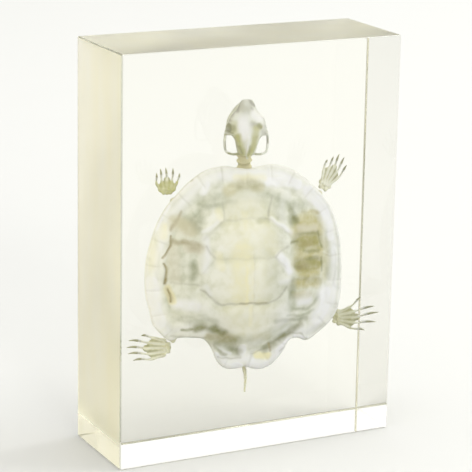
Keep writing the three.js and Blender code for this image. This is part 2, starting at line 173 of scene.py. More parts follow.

# What colours the carapace: stains, with painted shade and painted highlights among the strokes. Each mark
# is a
# soft brush stroke: strength, width, softness and its path across the back, in millimetres.
SHELL_MARKS = {
    # Shade: painted shade on the arch before the dome, the flanks, the rib hollows, the rear slope and the
    # rim's folds.
    "shade": [
        (0.5, 6.0, 5.0, [(-9, 28), (2, 29), (10, 27), (12, 23)]),
        (0.4, 9.0, 7.0, [(9, 19), (9.6, 6), (9, -6)]),
        (0.5, 4.0, 3.4, [(32.6, 14), (33.6, 5), (32.6, -1)]),
        (0.4, 4.0, 3.0, [(-28, 21), (-24.6, 25), (-19, 28.6)]),
        (0.15, 6.0, 5.0, [(-13, -14), (0, -16), (12, -14)]),
        (0.8, 2.4, 2.4, [(-20.4, 22.4), (-18.6, 24.6), (-15, 25.8), (-10, 26.8), (-5, 27.8)]),
        (0.7, 2.6, 2.4, [(-18.6, 26), (-18.4, 20)]),
        (0.55, 5.0, 4.0, [(-19, 28), (-12, 29), (0, 30), (8, 29.6), (15, 27)]),
        (0.8, 3.0, 2.8, [(3.5, 30.2), (8, 29.2), (12, 28), (15.6, 26.6), (17.2, 23.6), (17.8, 19)]),
        (0.6, 0.6, 0.8, [(4.2, 30), (4.4, 25.6)]),
        (0.6, 0.6, 0.8, [(6.6, 29.6), (6.4, 25)]),
        (0.35, 4.4, 3.6, [(-26, 9.4), (-25.6, -1)]),
        (0.75, 3.4, 3.0, [(-21.4, 5), (-21.2, 0)]),
        (0.55, 6.0, 4.4, [(-25, 20.4), (-21, 17.4)]),
        (0.2, 1.4, 1.6, [(-27, -12.8), (-22, -12.4), (-16.6, -13.4)]),
        (0.45, 1.8, 2.0, [(-25, -15.6), (-21, -15.2), (-17.6, -14.4), (-14.8, -16.4)]),
        (0.6, 3.0, 2.8, [(-23, -17.4), (-13, -16.8)]),
        (0.45, 1.2, 1.2, [(-38, 6), (-35.6, 3), (-34.4, -1.6)]),
        (0.4, 1.0, 1.0, [(-36, 15), (-34, 8), (-34.4, 2)]),
        (0.5, 2.4, 2.0, [(-31, -19.4), (-28.4, -21.4)]),
        (0.35, 2.0, 2.0, [(-30, 24), (-24, 29), (-18, 31.6)]),
        (0.4, 2.4, 2.2, [(-12, 31), (-10.6, 35)]),
        (0.7, 3.4, 3.0, [(17.4, -5), (17.6, -12)]),
        (0.75, 1.4, 1.4, [(18, -12.6), (23, -13.6), (26.4, -11.8), (28.4, -9.4)]),
        (0.6, 1.4, 1.4, [(16, -15.4), (22, -15.8), (27, -14.2)]),
        (0.85, 2.0, 2.2, [(11, -17), (18, -17.5), (24, -17.1)]),
        (0.75, 0.9, 1.1, [(34.4, 11), (35.6, 4), (35, -5.4)]),
        (0.7, 1.0, 1.2, [(36.6, 13), (37.2, 4), (37.3, -2)]),
        (0.45, 0.9, 1.2, [(37.2, -2), (36.9, -8), (35.6, -14)]),
        (0.55, 0.9, 1.2, [(34.6, -5.6), (37.6, -6.4)]),
        (0.5, 0.9, 1.2, [(33, -12.4), (36.4, -13.8)]),
        (0.5, 1.0, 1.4, [(28.6, -17.4), (32, -20)]),
        (0.75, 4.0, 2.6, [(-11, -25.6), (-7, -27.8), (-3.6, -29)]),
        (0.55, 4.6, 3.6, [(4, -24.6), (10, -22.6), (17, -19.2)]),
        (0.7, 1.2, 1.0, [(34.6, 10.2), (38, 9.6)]),
        (0.6, 2.0, 1.6, [(34.8, 2.6), (37.6, 0.4)]),
        (0.8, 2.4, 2.0, [(3.6, 20.9), (7, 20.6)]),
        (0.35, 8.0, 6.0, [(-6, 25), (6, 25)]),
        (0.6, 4.0, 3.4, [(17.4, 25.8), (22, 25.2)]),
        (0.7, 3.6, 3.2, [(-14, -20.4), (-8, -22.2), (-3, -24), (2, -24.4)]),
        (0.35, 2.6, 2.2, [(-3, -24.6), (5, -25)]),
        (0.6, 2.0, 1.4, [(25, -23.6), (28, -22), (31, -20.6)]),
    ],
    # White: the pale rim plates, with painted highlights on the ridges and panel edges.
    "white": [
        (1.0, 6.2, 2.6, [(-36.6, -3), (-36, -11), (-33.6, -18.4)]),
        (0.9, 2.8, 2.0, [(-33, -19), (-31.4, -21.6)]),
        (1.0, 3.6, 2.0, [(-35.2, 17.6), (-33.6, 22), (-31, 25.4)]),
        (0.8, 2.4, 2.0, [(-30, 28), (-26, 31.4), (-20, 34.6)]),
        (0.95, 3.0, 2.0, [(-17.4, 30.8), (-15.8, 34)]),
        (0.7, 3.0, 2.4, [(-8, 37.6), (2, 38), (8, 38)]),
        (1.0, 4.0, 2.4, [(8, 34.6), (14, 34.4), (20, 33.4)]),
        (1.0, 5.2, 2.6, [(24, 30.6), (29, 26), (31.4, 21.6)]),
        (0.9, 3.0, 2.2, [(32.8, 20), (33.6, 13)]),
        (1.0, 6.0, 4.0, [(31.8, -8), (31.8, -12), (29, -18)]),
        (0.8, 2.2, 2.4, [(35.4, -9.4), (34.8, -12)]),
        (0.7, 3.0, 2.6, [(-17, 14), (-16.6, 8), (-17.4, 3)]),
        (0.7, 1.6, 1.4, [(-17.6, 16.4), (-11, 21)]),
        (0.85, 1.6, 1.4, [(8.4, 21.2), (13, 18.6), (17, 16.2)]),
        (1.0, 3.2, 2.4, [(11.6, 8), (14.2, 5), (16, 2)]),
        (0.5, 2.4, 2.2, [(12.6, -2), (16, -1.6)]),
        (0.3, 2.0, 2.0, [(-4, 26.8), (3, 27)]),
        (0.5, 2.0, 2.0, [(-17, -3.4), (-15.4, -6)]),
        (1.0, 3.0, 1.2, [(-12.2, -30.4), (-10, -33.2), (-7, -34.6), (-2.4, -34.8)]),
        (0.9, 3.0, 1.0, [(-1.6, -27.4), (-1.6, -29.4)]),
        (0.85, 1.6, 1.0, [(-9.4, -28.8), (-6, -29.8)]),
        (1.0, 3.2, 1.4, [(1.6, -34.4), (6, -35.4), (11, -33), (14.6, -28.6)]),
        (1.0, 2.6, 1.2, [(12.6, -29.4), (16.8, -25)]),
        (0.95, 1.4, 0.8, [(19, -23.6), (22, -24.4), (25, -25)]),
        (0.8, 3.2, 2.4, [(21, -10.4), (24.4, -10)]),
        (0.9, 4.2, 3.0, [(-27, -10.4), (-20, -11)]),
        (0.6, 0.5, 0.5, [(28.6, 8), (33, 7)]),
    ],
    "yellow": [
        (0.4, 20.0, 12.0, [(-1, 20), (-1, 6), (-1, -14)]),
        (0.75, 10.0, 8.0, [(-3, 10), (-3, -7)]),
        (1.0, 2.2, 2.4, [(-1.6, 4), (-1.2, -9.6)]),
        (0.55, 5.0, 4.8, [(-2, 23), (-1.8, 3)]),
        (0.6, 3.0, 2.6, [(0.6, 9), (0.8, -18)]),
        (0.45, 8.0, 6.0, [(6, 18), (8, 11)]),
        (0.5, 3.2, 2.8, [(-11.4, 23.6), (-11, 21.6)]),
        (0.5, 4.0, 3.0, [(-12, 8), (-11, 4)]),
        (0.35, 4.0, 4.0, [(-36, 12), (-36.4, 4)]),
        (0.5, 2.6, 2.6, [(-31.4, 18), (-32.4, 14)]),
        (1.0, 3.0, 1.6, [(-30.6, -5), (-29, -9.4)]),
        (1.0, 3.0, 1.4, [(4.4, -30.8), (8.6, -31.2)]),
        (0.45, 2.2, 2.2, [(-5, 36), (6, 36)]),
    ],
    # Line: the grey-olive colour of the furrows between the plates, with a painted shade in them.
    "line": [
        (0.54, 0.6, 1.0, [
            (-18.4, -4.6), (-14, -8), (-11.5, -10.2), (-5, -9.8), (9, -9.6), (12.6, -7), (15, -4),
        ]),
        (0.5, 0.6, 1.0, [(8.8, 28.6), (7.5, 22.3)]),
        (0.29, 0.5, 0.9, [(-10.2, 27), (-9.6, 21)]),
        (0.43, 0.6, 1.1, [(15, 11), (12, 9.4), (10, 7.2)]),
        (0.4, 0.6, 1.1, [(-17, 11.4), (-13.6, 7.2)]),
        (0.14, 0.5, 1.1, [(-13.3, 7), (10, 7.2)]),
        (0.18, 0.5, 1.1, [(10, 7.2), (14.4, 3)]),
        (0.18, 0.5, 1.1, [(-13.3, 7), (-18, 1.6)]),
        (0.2, 0.6, 1.2, [(-9.6, 20.8), (7.2, 21.2), (16.8, 14.6)]),
        (0.25, 0.6, 1.2, [(-9.6, 20.8), (-17.4, 14)]),
        (0.32, 0.5, 0.9, [(-29.6, -2.7), (-19, -2.9)]),
        (0.58, 0.7, 0.9, [(-29, -23.2), (-22, -23.5), (-16, -23.5)]),
        (0.5, 0.5, 0.7, [(-11.4, -30.6), (-8, -31.8), (-2, -31.4)]),
        (0.43, 0.5, 0.7, [(2, -30.6), (5, -29.4), (9, -28)]),
        (0.72, 0.7, 1.0, [(17.6, -22.4), (13, -24.6), (9.6, -26.4)]),
        (0.5, 0.6, 0.8, [(18, -22.5), (22, -23.3), (24.6, -25.6)]),
        (0.22, 0.6, 0.9, [(27, 30.6), (32, 25), (34.8, 18.6), (36.2, 12)]),
        (0.36, 0.5, 0.8, [(16.6, -26.8), (13.4, -29.6)]),
    ],
    # Ochre: dried skin in the rib windows and the front crescent, darkened with the painted shade of the
    # hollow inside.
    "ochre": [
        (0.7, 12.5, 4.5, [(23.4, 16.6), (24.2, 12), (24.2, 4)]),
        (0.35, 3.0, 2.6, [(31, 12), (31.4, 4), (30.6, -2)]),
        (0.45, 4.4, 3.0, [(-28, 20), (-22, 17)]),
        (0.45, 3.6, 3.0, [(-8, 31.2), (-4, 33), (0.5, 33.8), (4.2, 32.6)]),
        (0.5, 3.6, 2.8, [(20, 20.6), (26, 21.4)]),
        (0.6, 2.0, 1.8, [(24.4, 22.8), (27.4, 22.6)]),
        (0.9, 4.8, 2.2, [(20.6, 12.4), (26.6, 12.2)]),
        (0.9, 5.2, 2.2, [(20.4, 3.4), (27.4, 3.4)]),
        (0.65, 4.0, 2.8, [(20, -3), (27.6, -3)]),
        (0.35, 2.0, 2.0, [(18.6, -7), (22, -6.8)]),
        (0.4, 4.0, 2.8, [(-14.4, -23.2), (-6, -24)]),
        (0.2, 3.0, 2.6, [(3, -23.4), (8, -23)]),
    ],
    # Olive: an olive stain at the rear, and painted shade in the hollows, the rib windows and the rear
    # folds.
    "olive": [
        (0.9, 2.8, 2.6, [(-20, -19.9), (-17.4, -19.2), (-14.6, -19.3), (-12, -20.3), (-9.6, -21.6)]),
        (0.8, 1.0, 1.0, [(-25, -20.7), (-21, -20)]),
        (0.5, 1.2, 1.2, [(-12, -20.2), (-8.4, -21.4)]),
        (0.55, 5.0, 3.6, [(-13.4, -24.4), (-9, -25), (-5, -25.4)]),
        (0.55, 1.4, 1.4, [(-9, -26.8), (-4.6, -27)]),
        (0.5, 2.6, 2.2, [(-8.4, -26.6), (-5, -28.2), (-3.2, -29.2)]),
        (0.6, 1.4, 1.2, [(-13.4, -24), (-12, -27.6), (-8, -30.4)]),
        (0.8, 2.6, 2.4, [(17.8, 20.6), (18.8, 20)]),
        (0.55, 1.6, 1.5, [(20, 15), (27.4, 15.2)]),
        (0.85, 1.4, 1.2, [(17, 12.4), (19.4, 12.4)]),
        (0.8, 1.0, 1.0, [(28, 15.8), (28.8, 12), (29.4, 9.8)]),
        (0.6, 1.2, 1.4, [(22, 9), (28, 8.7)]),
        (0.6, 1.2, 1.4, [(24, 6.3), (28, 6.2)]),
        (0.6, 1.4, 1.4, [(23, 5.4), (28, 5.6)]),
        (0.75, 2.2, 1.6, [(18.8, 3.2), (20.6, 2.6)]),
        (0.7, 0.9, 0.9, [(29.4, 6), (29.8, 1)]),
        (0.25, 2.4, 2.2, [(23, -2), (29, -3)]),
        (0.7, 2.6, 2.2, [(21.4, -19.4), (15.8, -22.6), (10.8, -26.4), (7.6, -28.4)]),
        (0.4, 6.2, 2.6, [(20.4, 12.8), (27, 12.6)]),
        (0.45, 5.0, 2.4, [(20, 3.6), (27, 3.6)]),
        (0.4, 2.6, 2.2, [(16.8, 24), (17.2, 20)]),
        (0.4, 2.4, 2.2, [(17, -2), (17.6, -8)]),
        (0.6, 1.4, 1.2, [(8.6, -26.6), (8, -29)]),
        (0.3, 3.0, 2.8, [(-4, 32.6), (0.5, 33.6), (3.6, 32.6)]),
        (0.5, 3.2, 2.8, [(-21, 20.4), (-20.4, 18.4)]),
        (0.35, 3.0, 2.8, [(-21.6, 3.6), (-21.2, 1)]),
    ],
    "blush": [
        (0.5, 6.0, 4.4, [(-27, 19), (-23, 17)]),
        (0.45, 4.6, 3.4, [(-29, 10), (-28.4, -1)]),
        (0.6, 3.0, 2.4, [(-24, 10.6), (-20, 10)]),
        (0.7, 2.4, 2.0, [(20, 17.4), (27, 17.2)]),
        (0.5, 3.0, 2.4, [(20, -8), (24, -7.6)]),
    ],
    "brown": [
        (0.8, 0.9, 0.6, [(-29.4, 14.4), (-29.8, 11), (-31, 8.8), (-32.6, 6.4)]),
        (1.0, 0.9, 0.5, [(-32.3, 4.3), (-31.4, 2), (-31.4, -1), (-31.8, -3)]),
        (1.0, 1.0, 0.7, [(-30.4, -5), (-29.6, -7.4), (-29.5, -9.8)]),
        (0.4, 2.6, 2.0, [(-30.6, -5), (-29.4, -9)]),
        (0.6, 2.0, 1.6, [(-29, 12.6), (-24, 12.5), (-19.4, 11.8)]),
        (0.45, 3.4, 2.8, [(-21.6, 11), (-19.4, 10.6)]),
        (0.5, 1.0, 1.2, [(-25.6, 23.2), (-29.6, 16.8)]),
        (0.12, 0.5, 0.8, [(1.6, 9), (1.6, -15)]),
        (0.5, 0.5, 0.5, [(-3.6, -9.7), (7, -9.6)]),
        (0.35, 2.4, 2.0, [(21.4, 11.6), (25, 11.4)]),
        (0.55, 2.4, 1.8, [(20, 3), (22.4, 2.8)]),
        (0.7, 0.9, 0.7, [(9, -26.6), (9.4, -29.4)]),
        (1.0, 0.5, 0.4, [(-22, 34.6), (-21, 35.8), (-18.7, 37.4)]),
        (0.3, 2.6, 2.2, [(-14.4, -22.6), (-7, -23.4)]),
    ],
}

# Which colours each layer of marks on the shell holds.
SHELL_LAYERS = {
    "marks": ("shade", "white", "yellow", "line"),
    "stains": ("ochre", "olive", "blush", "brown"),
}

# Plastron: the right half of its edge, and how it rises to its sides.
PLASTRON_EDGE = [
    (0, 30), (9, 29.5), (14.5, 23), (18, 16), (32, 13), (32.6, 0), (32, -10), (18, -14),
    (15.5, -22), (9, -30.5), (3, -31.5), (0, -29),
]
PLASTRON_EDGE_STEPS = 300
PLASTRON_DEPTH = -11.0
BRIDGE_HEIGHT = -0.7
BRIDGE_START = 15.0
BRIDGE_END = 32.0
PLASTRON_THICKNESS = 1.5
PLASTRON_FURROWS = [(22, 15), (12, 30), (-1, 32), (-12, 24), (-22, 15)]
PLASTRON_MIDDLE = [(0, 40), (0, -40)]
FURROW_RISE = 0.8
FURROW_DIP = 0.6
FURROW_WIDTH = 0.45

# Head, seen from above: stations along the skull as y, half width, top and bottom, then its arches,
# crests, sockets and marks, and the jaw, neck and tail.
HEAD_SHIFT = -0.7
SKULL_STATIONS = [
    (64.3, 1.4, 2.2, 0.8), (63.9, 2.2, 2.9, -0.4), (62.4, 3.0, 3.7, -1), (60.6, 3.8, 4.3, -1.4),
    (59.4, 5, 4.8, -1.6), (58, 6.4, 5.2, -1.8), (56.4, 7.1, 5.5, -2), (54.4, 7.6, 5.8, -2.2),
    (52.5, 7.7, 5.9, -2.3), (51.3, 6, 5.9, -2.2), (49.5, 4.6, 5.6, -2), (47.5, 4.1, 5.2, -1.9),
    (45.5, 3.6, 4.4, -1.6), (44, 2.9, 3.4, -1.2),
]
CHEEK_ARCH = [
    (7, 55.4, -0.4), (7.9, 52.8, 0.8), (8.3, 50.2, 1), (8.3, 47.4, 1), (7.7, 45.2, 1), (5.6, 44.3, 1.2),
    (3, 44.4, 1.4),
]
EYE_BAR = [(4.4, 52.2, 4.6), (6.6, 52, 3.2), (7.9, 51.8, 1)]
CREST = [(0, 52, 5.4), (0, 47.6, 5.3), (0, 43.2, 3.6)]
CREST_SIDE = [(4.4, 51.8, 4.8), (3.2, 48.2, 4.7), (1.4, 44.6, 4)]
EYE_SOCKET = (7.8, 54, 2.4)
EYE_SOCKET_SIZE = (2.8, 1.8, 2.2)
NOSTRIL = (0, 64.7, 1.5)
NOSTRIL_SIZE = (1.2, 0.8, 0.7)
HEAD_MARKS = {
    "grey": [
        (0.4, 5.4, 2.2, [(-1.3, 64.2), (-1.3, 61.4)]),
        (0.85, 1.5, 1.2, [(-4.4, 60.4), (-4.1, 62.4), (-3.3, 64.2)]),
        (0.85, 1.3, 1.0, [(-0.2, 64.5), (0.8, 63.2), (1.7, 62.5)]),
        (0.7, 1.1, 1.0, [(0.4, 61.6), (0.9, 61)]),
        (0.3, 3.0, 2.4, [(-2.6, 59.6), (-2.2, 57.8)]),
        (0.6, 1.2, 1.0, [(-8.2, 57.6), (-7.8, 56.8)]),
        (0.5, 0.9, 0.8, [(-7.4, 58.6), (-5.4, 60.4)]),
        (0.5, 2.0, 1.8, [(0.4, 55.8), (2, 55.4)]),
        (0.35, 2.0, 1.6, [(5.4, 58.2), (6.2, 56)]),
        (0.55, 2.2, 1.6, [(5.4, 53), (7, 52.8)]),
        (0.7, 0.9, 0.6, [(7.6, 51), (7.8, 48.6)]),
        (0.6, 1.4, 1.0, [(-8.8, 48.4), (-8.4, 46.2)]),
    ],
    # White: painted highlights on the top of the skull and along its crest.
    "white": [
        (0.9, 4.6, 3.4, [(-2.6, 56.6), (-2.2, 52.2)]),
        (0.8, 3.0, 2.4, [(1.5, 59.2), (3.6, 58)]),
        (0.7, 1.0, 0.9, [(-1.2, 49.6), (-1.1, 44)]),
    ],
    "olive": [
        (0.9, 2.6, 2.0, [(-5, 51), (-3.8, 48), (-2.6, 44.6)]),
        (0.9, 2.4, 2.0, [(2.6, 54), (1.8, 50.5), (1.2, 47.5), (0.2, 44.6)]),
        (0.7, 2.0, 1.6, [(-5.4, 47), (-4.4, 45)]),
        (0.5, 2.4, 2.0, [(-6.4, 56), (-6, 53)]),
    ],
    # Painted shade in the eye sockets and hollows of the head, and under the back ends of the arches.
    "painted_shade": [
        (0.75, 2.4, 1.6, [(-8.4, 54.2), (-6.8, 54.2)]),
        (0.8, 0.7, 0.6, [(-9.4, 52.7), (-6.6, 52.7)]),
        (0.8, 0.6, 0.6, [(-9.2, 51.6), (-6.6, 51.6)]),
        (0.9, 1.6, 1.2, [(3.2, 55.4), (4.2, 54.8)]),
        (0.85, 1.1, 0.8, [(-7.6, 44.3), (-4, 44.3)]),
        (0.85, 1.0, 0.8, [(2.6, 44.4), (4.6, 44.5)]),
        (0.6, 1.0, 1.0, [(-3.8, 47.6), (-2.8, 45.6)]),
        (0.6, 1.0, 1.0, [(-0.2, 47.4), (0.2, 45.6)]),
    ],
}
SKULL_STEPS = 40
SKULL_SIDES = 32
SKULL_UPPER_SIDE = (-1, 0.5)
JAW = [
    (-6.2, 51.6, -3.6), (-5.8, 56.5, -4), (0, 62.6, -3.2), (5.8, 56.5, -4), (6.2, 51.6, -3.6),
]
NECK = [(0, 27, -3.6), (-0.2, 34, -4.2), (-0.6, 40, -3.4), (-1, 43.9, -0.6)]
TAIL = [(0, -25, -3.4), (0.2, -34, -3), (1.1, -40.5, -1.6), (0.8, -46, -1)]

# Limbs: joints of the right side, wrists and ankles, the bars of the girdles, how far a long bone
# keeps from its joints and bows, and then each paw.
SHOULDER = (10.5, 24, -3)
ELBOW = (22, 20.5, -5)
HIP = (9.5, -17, -3.4)
KNEE = (22.5, -14.5, -5)
WRISTS = {"left": (-28.6, 27.2, -2.4), "right": (30, 30, -2.4)}
ANKLES = {"left": (-28, -26.6, -2.6), "right": (35.2, -17.6, -2.6)}
SHOULDER_SOCKET = (8.8, 24.4, -3.2)
SHOULDER_BARS = [[SHOULDER_SOCKET, end] for end in [(7, 23, 4.4), (3, 25.5, -7.4), (5.4, 14, -7.8)]]
HIP_SOCKET = (7.6, -17.4, -3.6)
HIP_BARS = [[HIP_SOCKET, end] for end in [(4.6, -21.5, 3.4), (-1, -11.5, -7.4), (-1, -22.6, -7.2)]]
LIMB_INSET = 0.09
LIMB_BOW = (0, 0, 0.6)
PAWS = {
    "left_hand": {
        "wrist": (-30.4, 29.8, -2.2), "knuckles": (-30.6, 34.4, -1.6),
        "half_width": 4.2, "heel": 0.8, "stain": 0.85, "curl": 0.1,
        "tips": [
            (-34.6, 37, -1.4), (-33.2, 38.6, -1.2), (-31.2, 39, -1), (-28.4, 38.8, -1), (-25.8, 37, -1.2),
        ],
    },
    "right_hand": {
        "wrist": (30.6, 31.2, -2.2), "knuckles": (34.8, 39, -1.6),
        "half_width": 3.9, "heel": 0.5, "stain": 0.0, "curl": -0.2,
        "tips": [(32, 42, -1.4), (34.4, 43.2, -1.2), (36.6, 44.2, -1), (38.7, 43, -1), (39.8, 40, -1.2)],
    },
    "left_foot": {
        "wrist": (-29.2, -28.4, -2.6), "knuckles": (-38, -28.2, -1.8),
        "half_width": 4.5, "heel": 0.8, "stain": 0.1, "curl": 0.6,
        "tips": [
            (-43, -32.6, -1.6), (-45, -30, -1.4), (-45.6, -27.6, -1.2), (-44.8, -25, -1.2),
            (-40, -23.4, -1.6),
        ],
    },
    "right_foot": {
        "wrist": (36.6, -18.5, -1.6), "knuckles": (45, -17.8, 2.2),
        "half_width": 4.8, "heel": 0.5, "stain": 0.35, "curl": -0.45,
        "tips": [
            (46.4, -9.8, 3.4), (51.8, -13.2, 5), (53.6, -15.6, 5.2), (52.6, -19.4, 5), (48.4, -22.8, 3.6),
        ],
    },
}

# How a paw is built. Starts, spreads and bows are shares of its palm and of its half width, a curl
# is a share of the paw's own, and a rise is in millimetres. A wrist row is its place along the
# palm, its count of lumps and its spread.
RAY_START = 0.2
RAY_SPREAD = 0.8
KNUCKLE_SPREAD = 0.95
KNUCKLE_BOW = 0.16
BEND_PLACE = 0.45
BEND_CURL = 0.8
BEND_RISE = (0, 0, 0.5)
CLAW_CURL = 0.35
CLAW_RISE = (0, 0, 0.2)
WRIST_ROWS = ((0.02, 2, 0.3), (0.2, 4, 0.5))
WRIST_LUMP = (1.0, 0.85, 0.75)

# Tones of a paw, and the soft ends of each: gaps in millimetres, and shares of the palm's length.
CLAW_TONE = 0.95
CLAW_GAP = (0.6, 1.2)
RAY_TONE = 0.55
RAY_GAP = (0.2, 0.5)
WEB_TONE = 0.75
WEB_GAP = (0.3, 0.8)
WEB_START = (0.2, 0.4)
HEEL_TONE = 0.4
HEEL_END = (-0.15, 0.1)
STAIN_END = (0.8, 1.1)

# Kinds of bone: base and duller colour, four colours for stains, painted highlight and painted shade, the
# colour of the painted shade on sloping sides, and the sizes of the clouds and pores in millimetres.
BONE_KINDS = {
    "pale_bone": ("bone", "deep", ("claw", "painted_highlight", "moss", "aged_deep"), "claw", 4.0, 0.5),
    "aged_bone": ("aged", "dull", ("claw", "bone", "aged_deep", "moss"), "aged_deep", 2.0, 0.35),
    "neck_bone": ("neck", "aged_deep", ("claw", "bone", "aged_deep", "deep"), "aged_deep", 2.0, 0.35),
}
SHELL_CLOUD = 3.2
SHELL_PORE = 0.5

# How strongly sloping sides take a painted shade, and the heights between which undersides turn darker.
STEEP_SHADE = 0.5
UNDERSIDE = (-8, 0)

# Bone grain: where its clouds and pores begin and are whole, and how they dull, lift and roughen
# the bone and hold stains. Depth is in millimetres, and a pair of values is outside and inside
# the clouds.
CLOUD_ENDS = (0.38, 0.72)
PORE_ENDS = (0.05, 0.3)
PORE_DULLNESS = 0.6
CLOUD_LIFT = 0.6
BONE_ROUGHNESS = (0.45, 0.65)
STAIN_HOLD = (0.35, 1.55)
GRAIN_STRENGTH = 0.25
GRAIN_DEPTH = 0.1
BONE_SHINE = 0.2

# How finely the meshes are made, in millimetres or in steps, and the share of its width that the
# end of a bone keeps.
PLATE_SPACING = 0.46
FINE_VOXEL = 0.2
FINEST_VOXEL = 0.16
PATH_STEPS = 48
STEPS_PER_BONE = 14
BLUNT_END = 0.08

# Stage, in metres: the floor and the share of its colour that its flecks have, the size and place
# of each soft light, and the camera. The camera's aim and sensor are in millimetres.
FLOOR_RADIUS = 6
FLOOR_DROP = 0.0002
FLOOR_SIDES = 64
FLOOR_FLECK = 0.99
FIBRE_SCALE = 30.0
LIGHTS = {
    "front_light": (1.2, Vector((0.0, -2.9, 1.15))),
    "side_light": (2.2, Vector((2.2, -0.4, 2.0))),
}
CAMERA_AIM = Vector((-0.47, 0, 75.84))
CAMERA_REACH = 50
SENSOR_WIDTH = 36
WHITE = (1, 1, 1, 1)


def linear(hex_colour):
    """A colour written as six hex digits, in the linear values that shaders read."""
    shares = [int(hex_colour[i:i + 2], 16) / 255 for i in (0, 2, 4)]
    return tuple(s / 12.92 if s <= 0.04045 else ((s + 0.055) / 1.055) ** 2.4 for s in shares)


# Settings that a user would change.
def light_setting(name, description, shares):
    return bpy.props.FloatVectorProperty(
        name=name, description=description, default=shares, subtype="COLOR", size=3, min=0, max=1
    )


def colour_setting(name, description, hex_colour):
    return light_setting(name, description, linear(hex_colour))


def number_setting(name, description, value, **limits):
    return bpy.props.FloatProperty(name=name, description=description, default=value, **limits)


def length_setting(name, description, millimetres):
    return number_setting(name, description, millimetres * MM, unit="LENGTH", precision=5, min=0)


def angle_setting(name, description, degrees):
    return number_setting(name, description, math.radians(degrees), subtype="ANGLE")


class ResinSettings(bpy.types.PropertyGroup):
    """The clear block."""

    edge_round: length_setting("Edge round", "Width of the softened edges", 0.45)
    tint: light_setting("Tint", "Colour that light takes on in the resin", (0.95, 0.938, 0.81))
    # Edge: the colour of the painted shade on the block's edges, strongest on the edges that face back.
    edge: colour_setting("Edge", "Dulled colour of the edges", "9c9d8a")
    streak: colour_setting("Streak", "Cream streaks on the satin side", "f8ecb6")
    satin: number_setting("Satin", "Roughness of the left side", 0.95, min=0, max=1, subtype="FACTOR")
    density: number_setting("Density", "How strongly the resin takes up light", 8.0, min=0)
    ior: number_setting("IOR", "How strongly the resin bends light", 1.49, min=1, max=2)


class ShellSettings(bpy.types.PropertyGroup):
    """Relief, colours, painted shade and painted highlights of the carapace and the plastron."""

    furrow_depth: length_setting("Furrow depth", "Depth of the lines between plates", 0.3)
    keel_height: length_setting("Keel height", "Height of the ridge down the back", 0.55)
    ring_swell: length_setting("Ring swell", "How far the rim plates bulge", 0.6)
    panel_rise: length_setting("Panel rise", "How far each panel stands above its seams", 0.55)
    fold_depth: length_setting("Fold depth", "Height of the soft folds", 0.3)
    rear_flare: length_setting("Rear flare", "How far the rear rim plates turn up", 2.0)
    bone: colour_setting("Bone", "Main colour of the shell", "f6f7ef")
    # Deep bone also colours the painted shade on the shell's sloping sides.
    deep: colour_setting("Deep bone", "Colour of the duller patches", "e2e4d5")
    # Shade: grey green painted shade in the hollows and gutters and on the slopes of the shell.
    shade: colour_setting("Shade", "Grey green of thin bone", "aeb49c")
    # White: the pale rim plates, and painted highlights on the ridges and raised panels.
    white: colour_setting("White", "Colour of the rim plates", "fafbff")
    yellow: colour_setting("Yellow", "Warm colour down the back", "f9f5d2")
    # Line: the grey-olive colour of the furrows and sutures, with a painted shade in the furrows.
    line: colour_setting("Line", "Colour held in the furrows", "a2a28e")
    # Ochre: dried skin between the ribs, darkened with the painted shade of the shell's hollow inside.
    ochre: colour_setting("Ochre", "Dried skin between the ribs", "c0b76e")
    # Olive: an olive stain at the rear, and painted shade in the hollows, the rib windows and the rear
    # folds.
    olive: colour_setting("Olive", "Dark stain at the rear", "8a8c5e")
    blush: colour_setting("Blush", "Faint pink of the rib panels", "dad6c6")
    brown: colour_setting("Brown", "Stain in the gaps beside the rim", "a29668")


class BoneSettings(bpy.types.PropertyGroup):
    """Colours and build of the other bones."""

    bone: colour_setting("Bone", "Head and inner bones", "eceee8")
    deep: colour_setting("Deep bone", "Duller patches of those bones", "dfe0d2")
    # Painted highlight: the bright patches on the top of the skull and along its crest.
    painted_highlight: light_setting("Polished bone", "Bright patches of the head", (0.95, 0.95, 0.97))
    aged: colour_setting("Aged bone", "Paws and tail", "f2f2e0")
    # Aged deep also colours the painted shade in the head's sockets and on the sloping sides of the paws,
    # tail, forearms, shins and neck.
    aged_deep: colour_setting("Aged deep", "Darker parts of the paws and tail", "a4a47e")
    dull: colour_setting("Dull bone", "Duller patches of paws and tail", "e0ddba")
    neck: colour_setting("Neck bone", "Neck bones", "cbc28c")
    moss: colour_setting("Moss", "Green stain at the back of the head", "c2c28a")
    # Claw also colours the painted shade on the sloping sides of the pale bones.
    claw: colour_setting("Claw", "Grey of claws and beak", "aeaea4")
    joint_waist: number_setting(
        "Joint waist", "How much a bone thins between its ends", 0.38, min=0, max=0.9
    )


class StageSettings(bpy.types.PropertyGroup):
    """Camera, floor and light."""

    azimuth: angle_setting("Azimuth", "Turn of the camera round the block", -27)
    elevation: angle_setting("Elevation", "Height angle of the camera", 15.17)
    roll: angle_setting("Roll", "Lean of the camera", 1.09)
    distance: length_setting("Distance", "From the camera to the middle of the block", 796.1)
    lens: number_setting("Lens", "Focal length in millimetres on a 36 mm sensor", 166.0, min=1)
    sky: number_setting("Sky", "Strength of the even white light", 1.1, min=0)
    front_light: number_setting("Front light", "Power of the soft light in front, in watts", 36.0, min=0)
    side_light: number_setting("Side light", "Power of the soft light at the right, in watts", 58.0, min=0)
    floor: colour_setting("Floor", "Colour of the floor", "d0d0cc")


# Flat geometry.
def smooth_step(value, low, high):
    share = np.clip((value - low) / (high - low), 0, 1)
    return share * share * (3 - 2 * share)


def bump(distance, width):
    """A soft bell, 1 in the middle."""
    return np.exp(-((distance / width) ** 2))


def around(place, blur):
    return place - blur, place + blur


def within(value, rise, fall):
    """A share of 1 between two soft ends."""
    return smooth_step(value, *rise) * (1 - smooth_step(value, *fall))


def mix(ends, share):
    return ends[0] + (ends[1] - ends[0]) * share


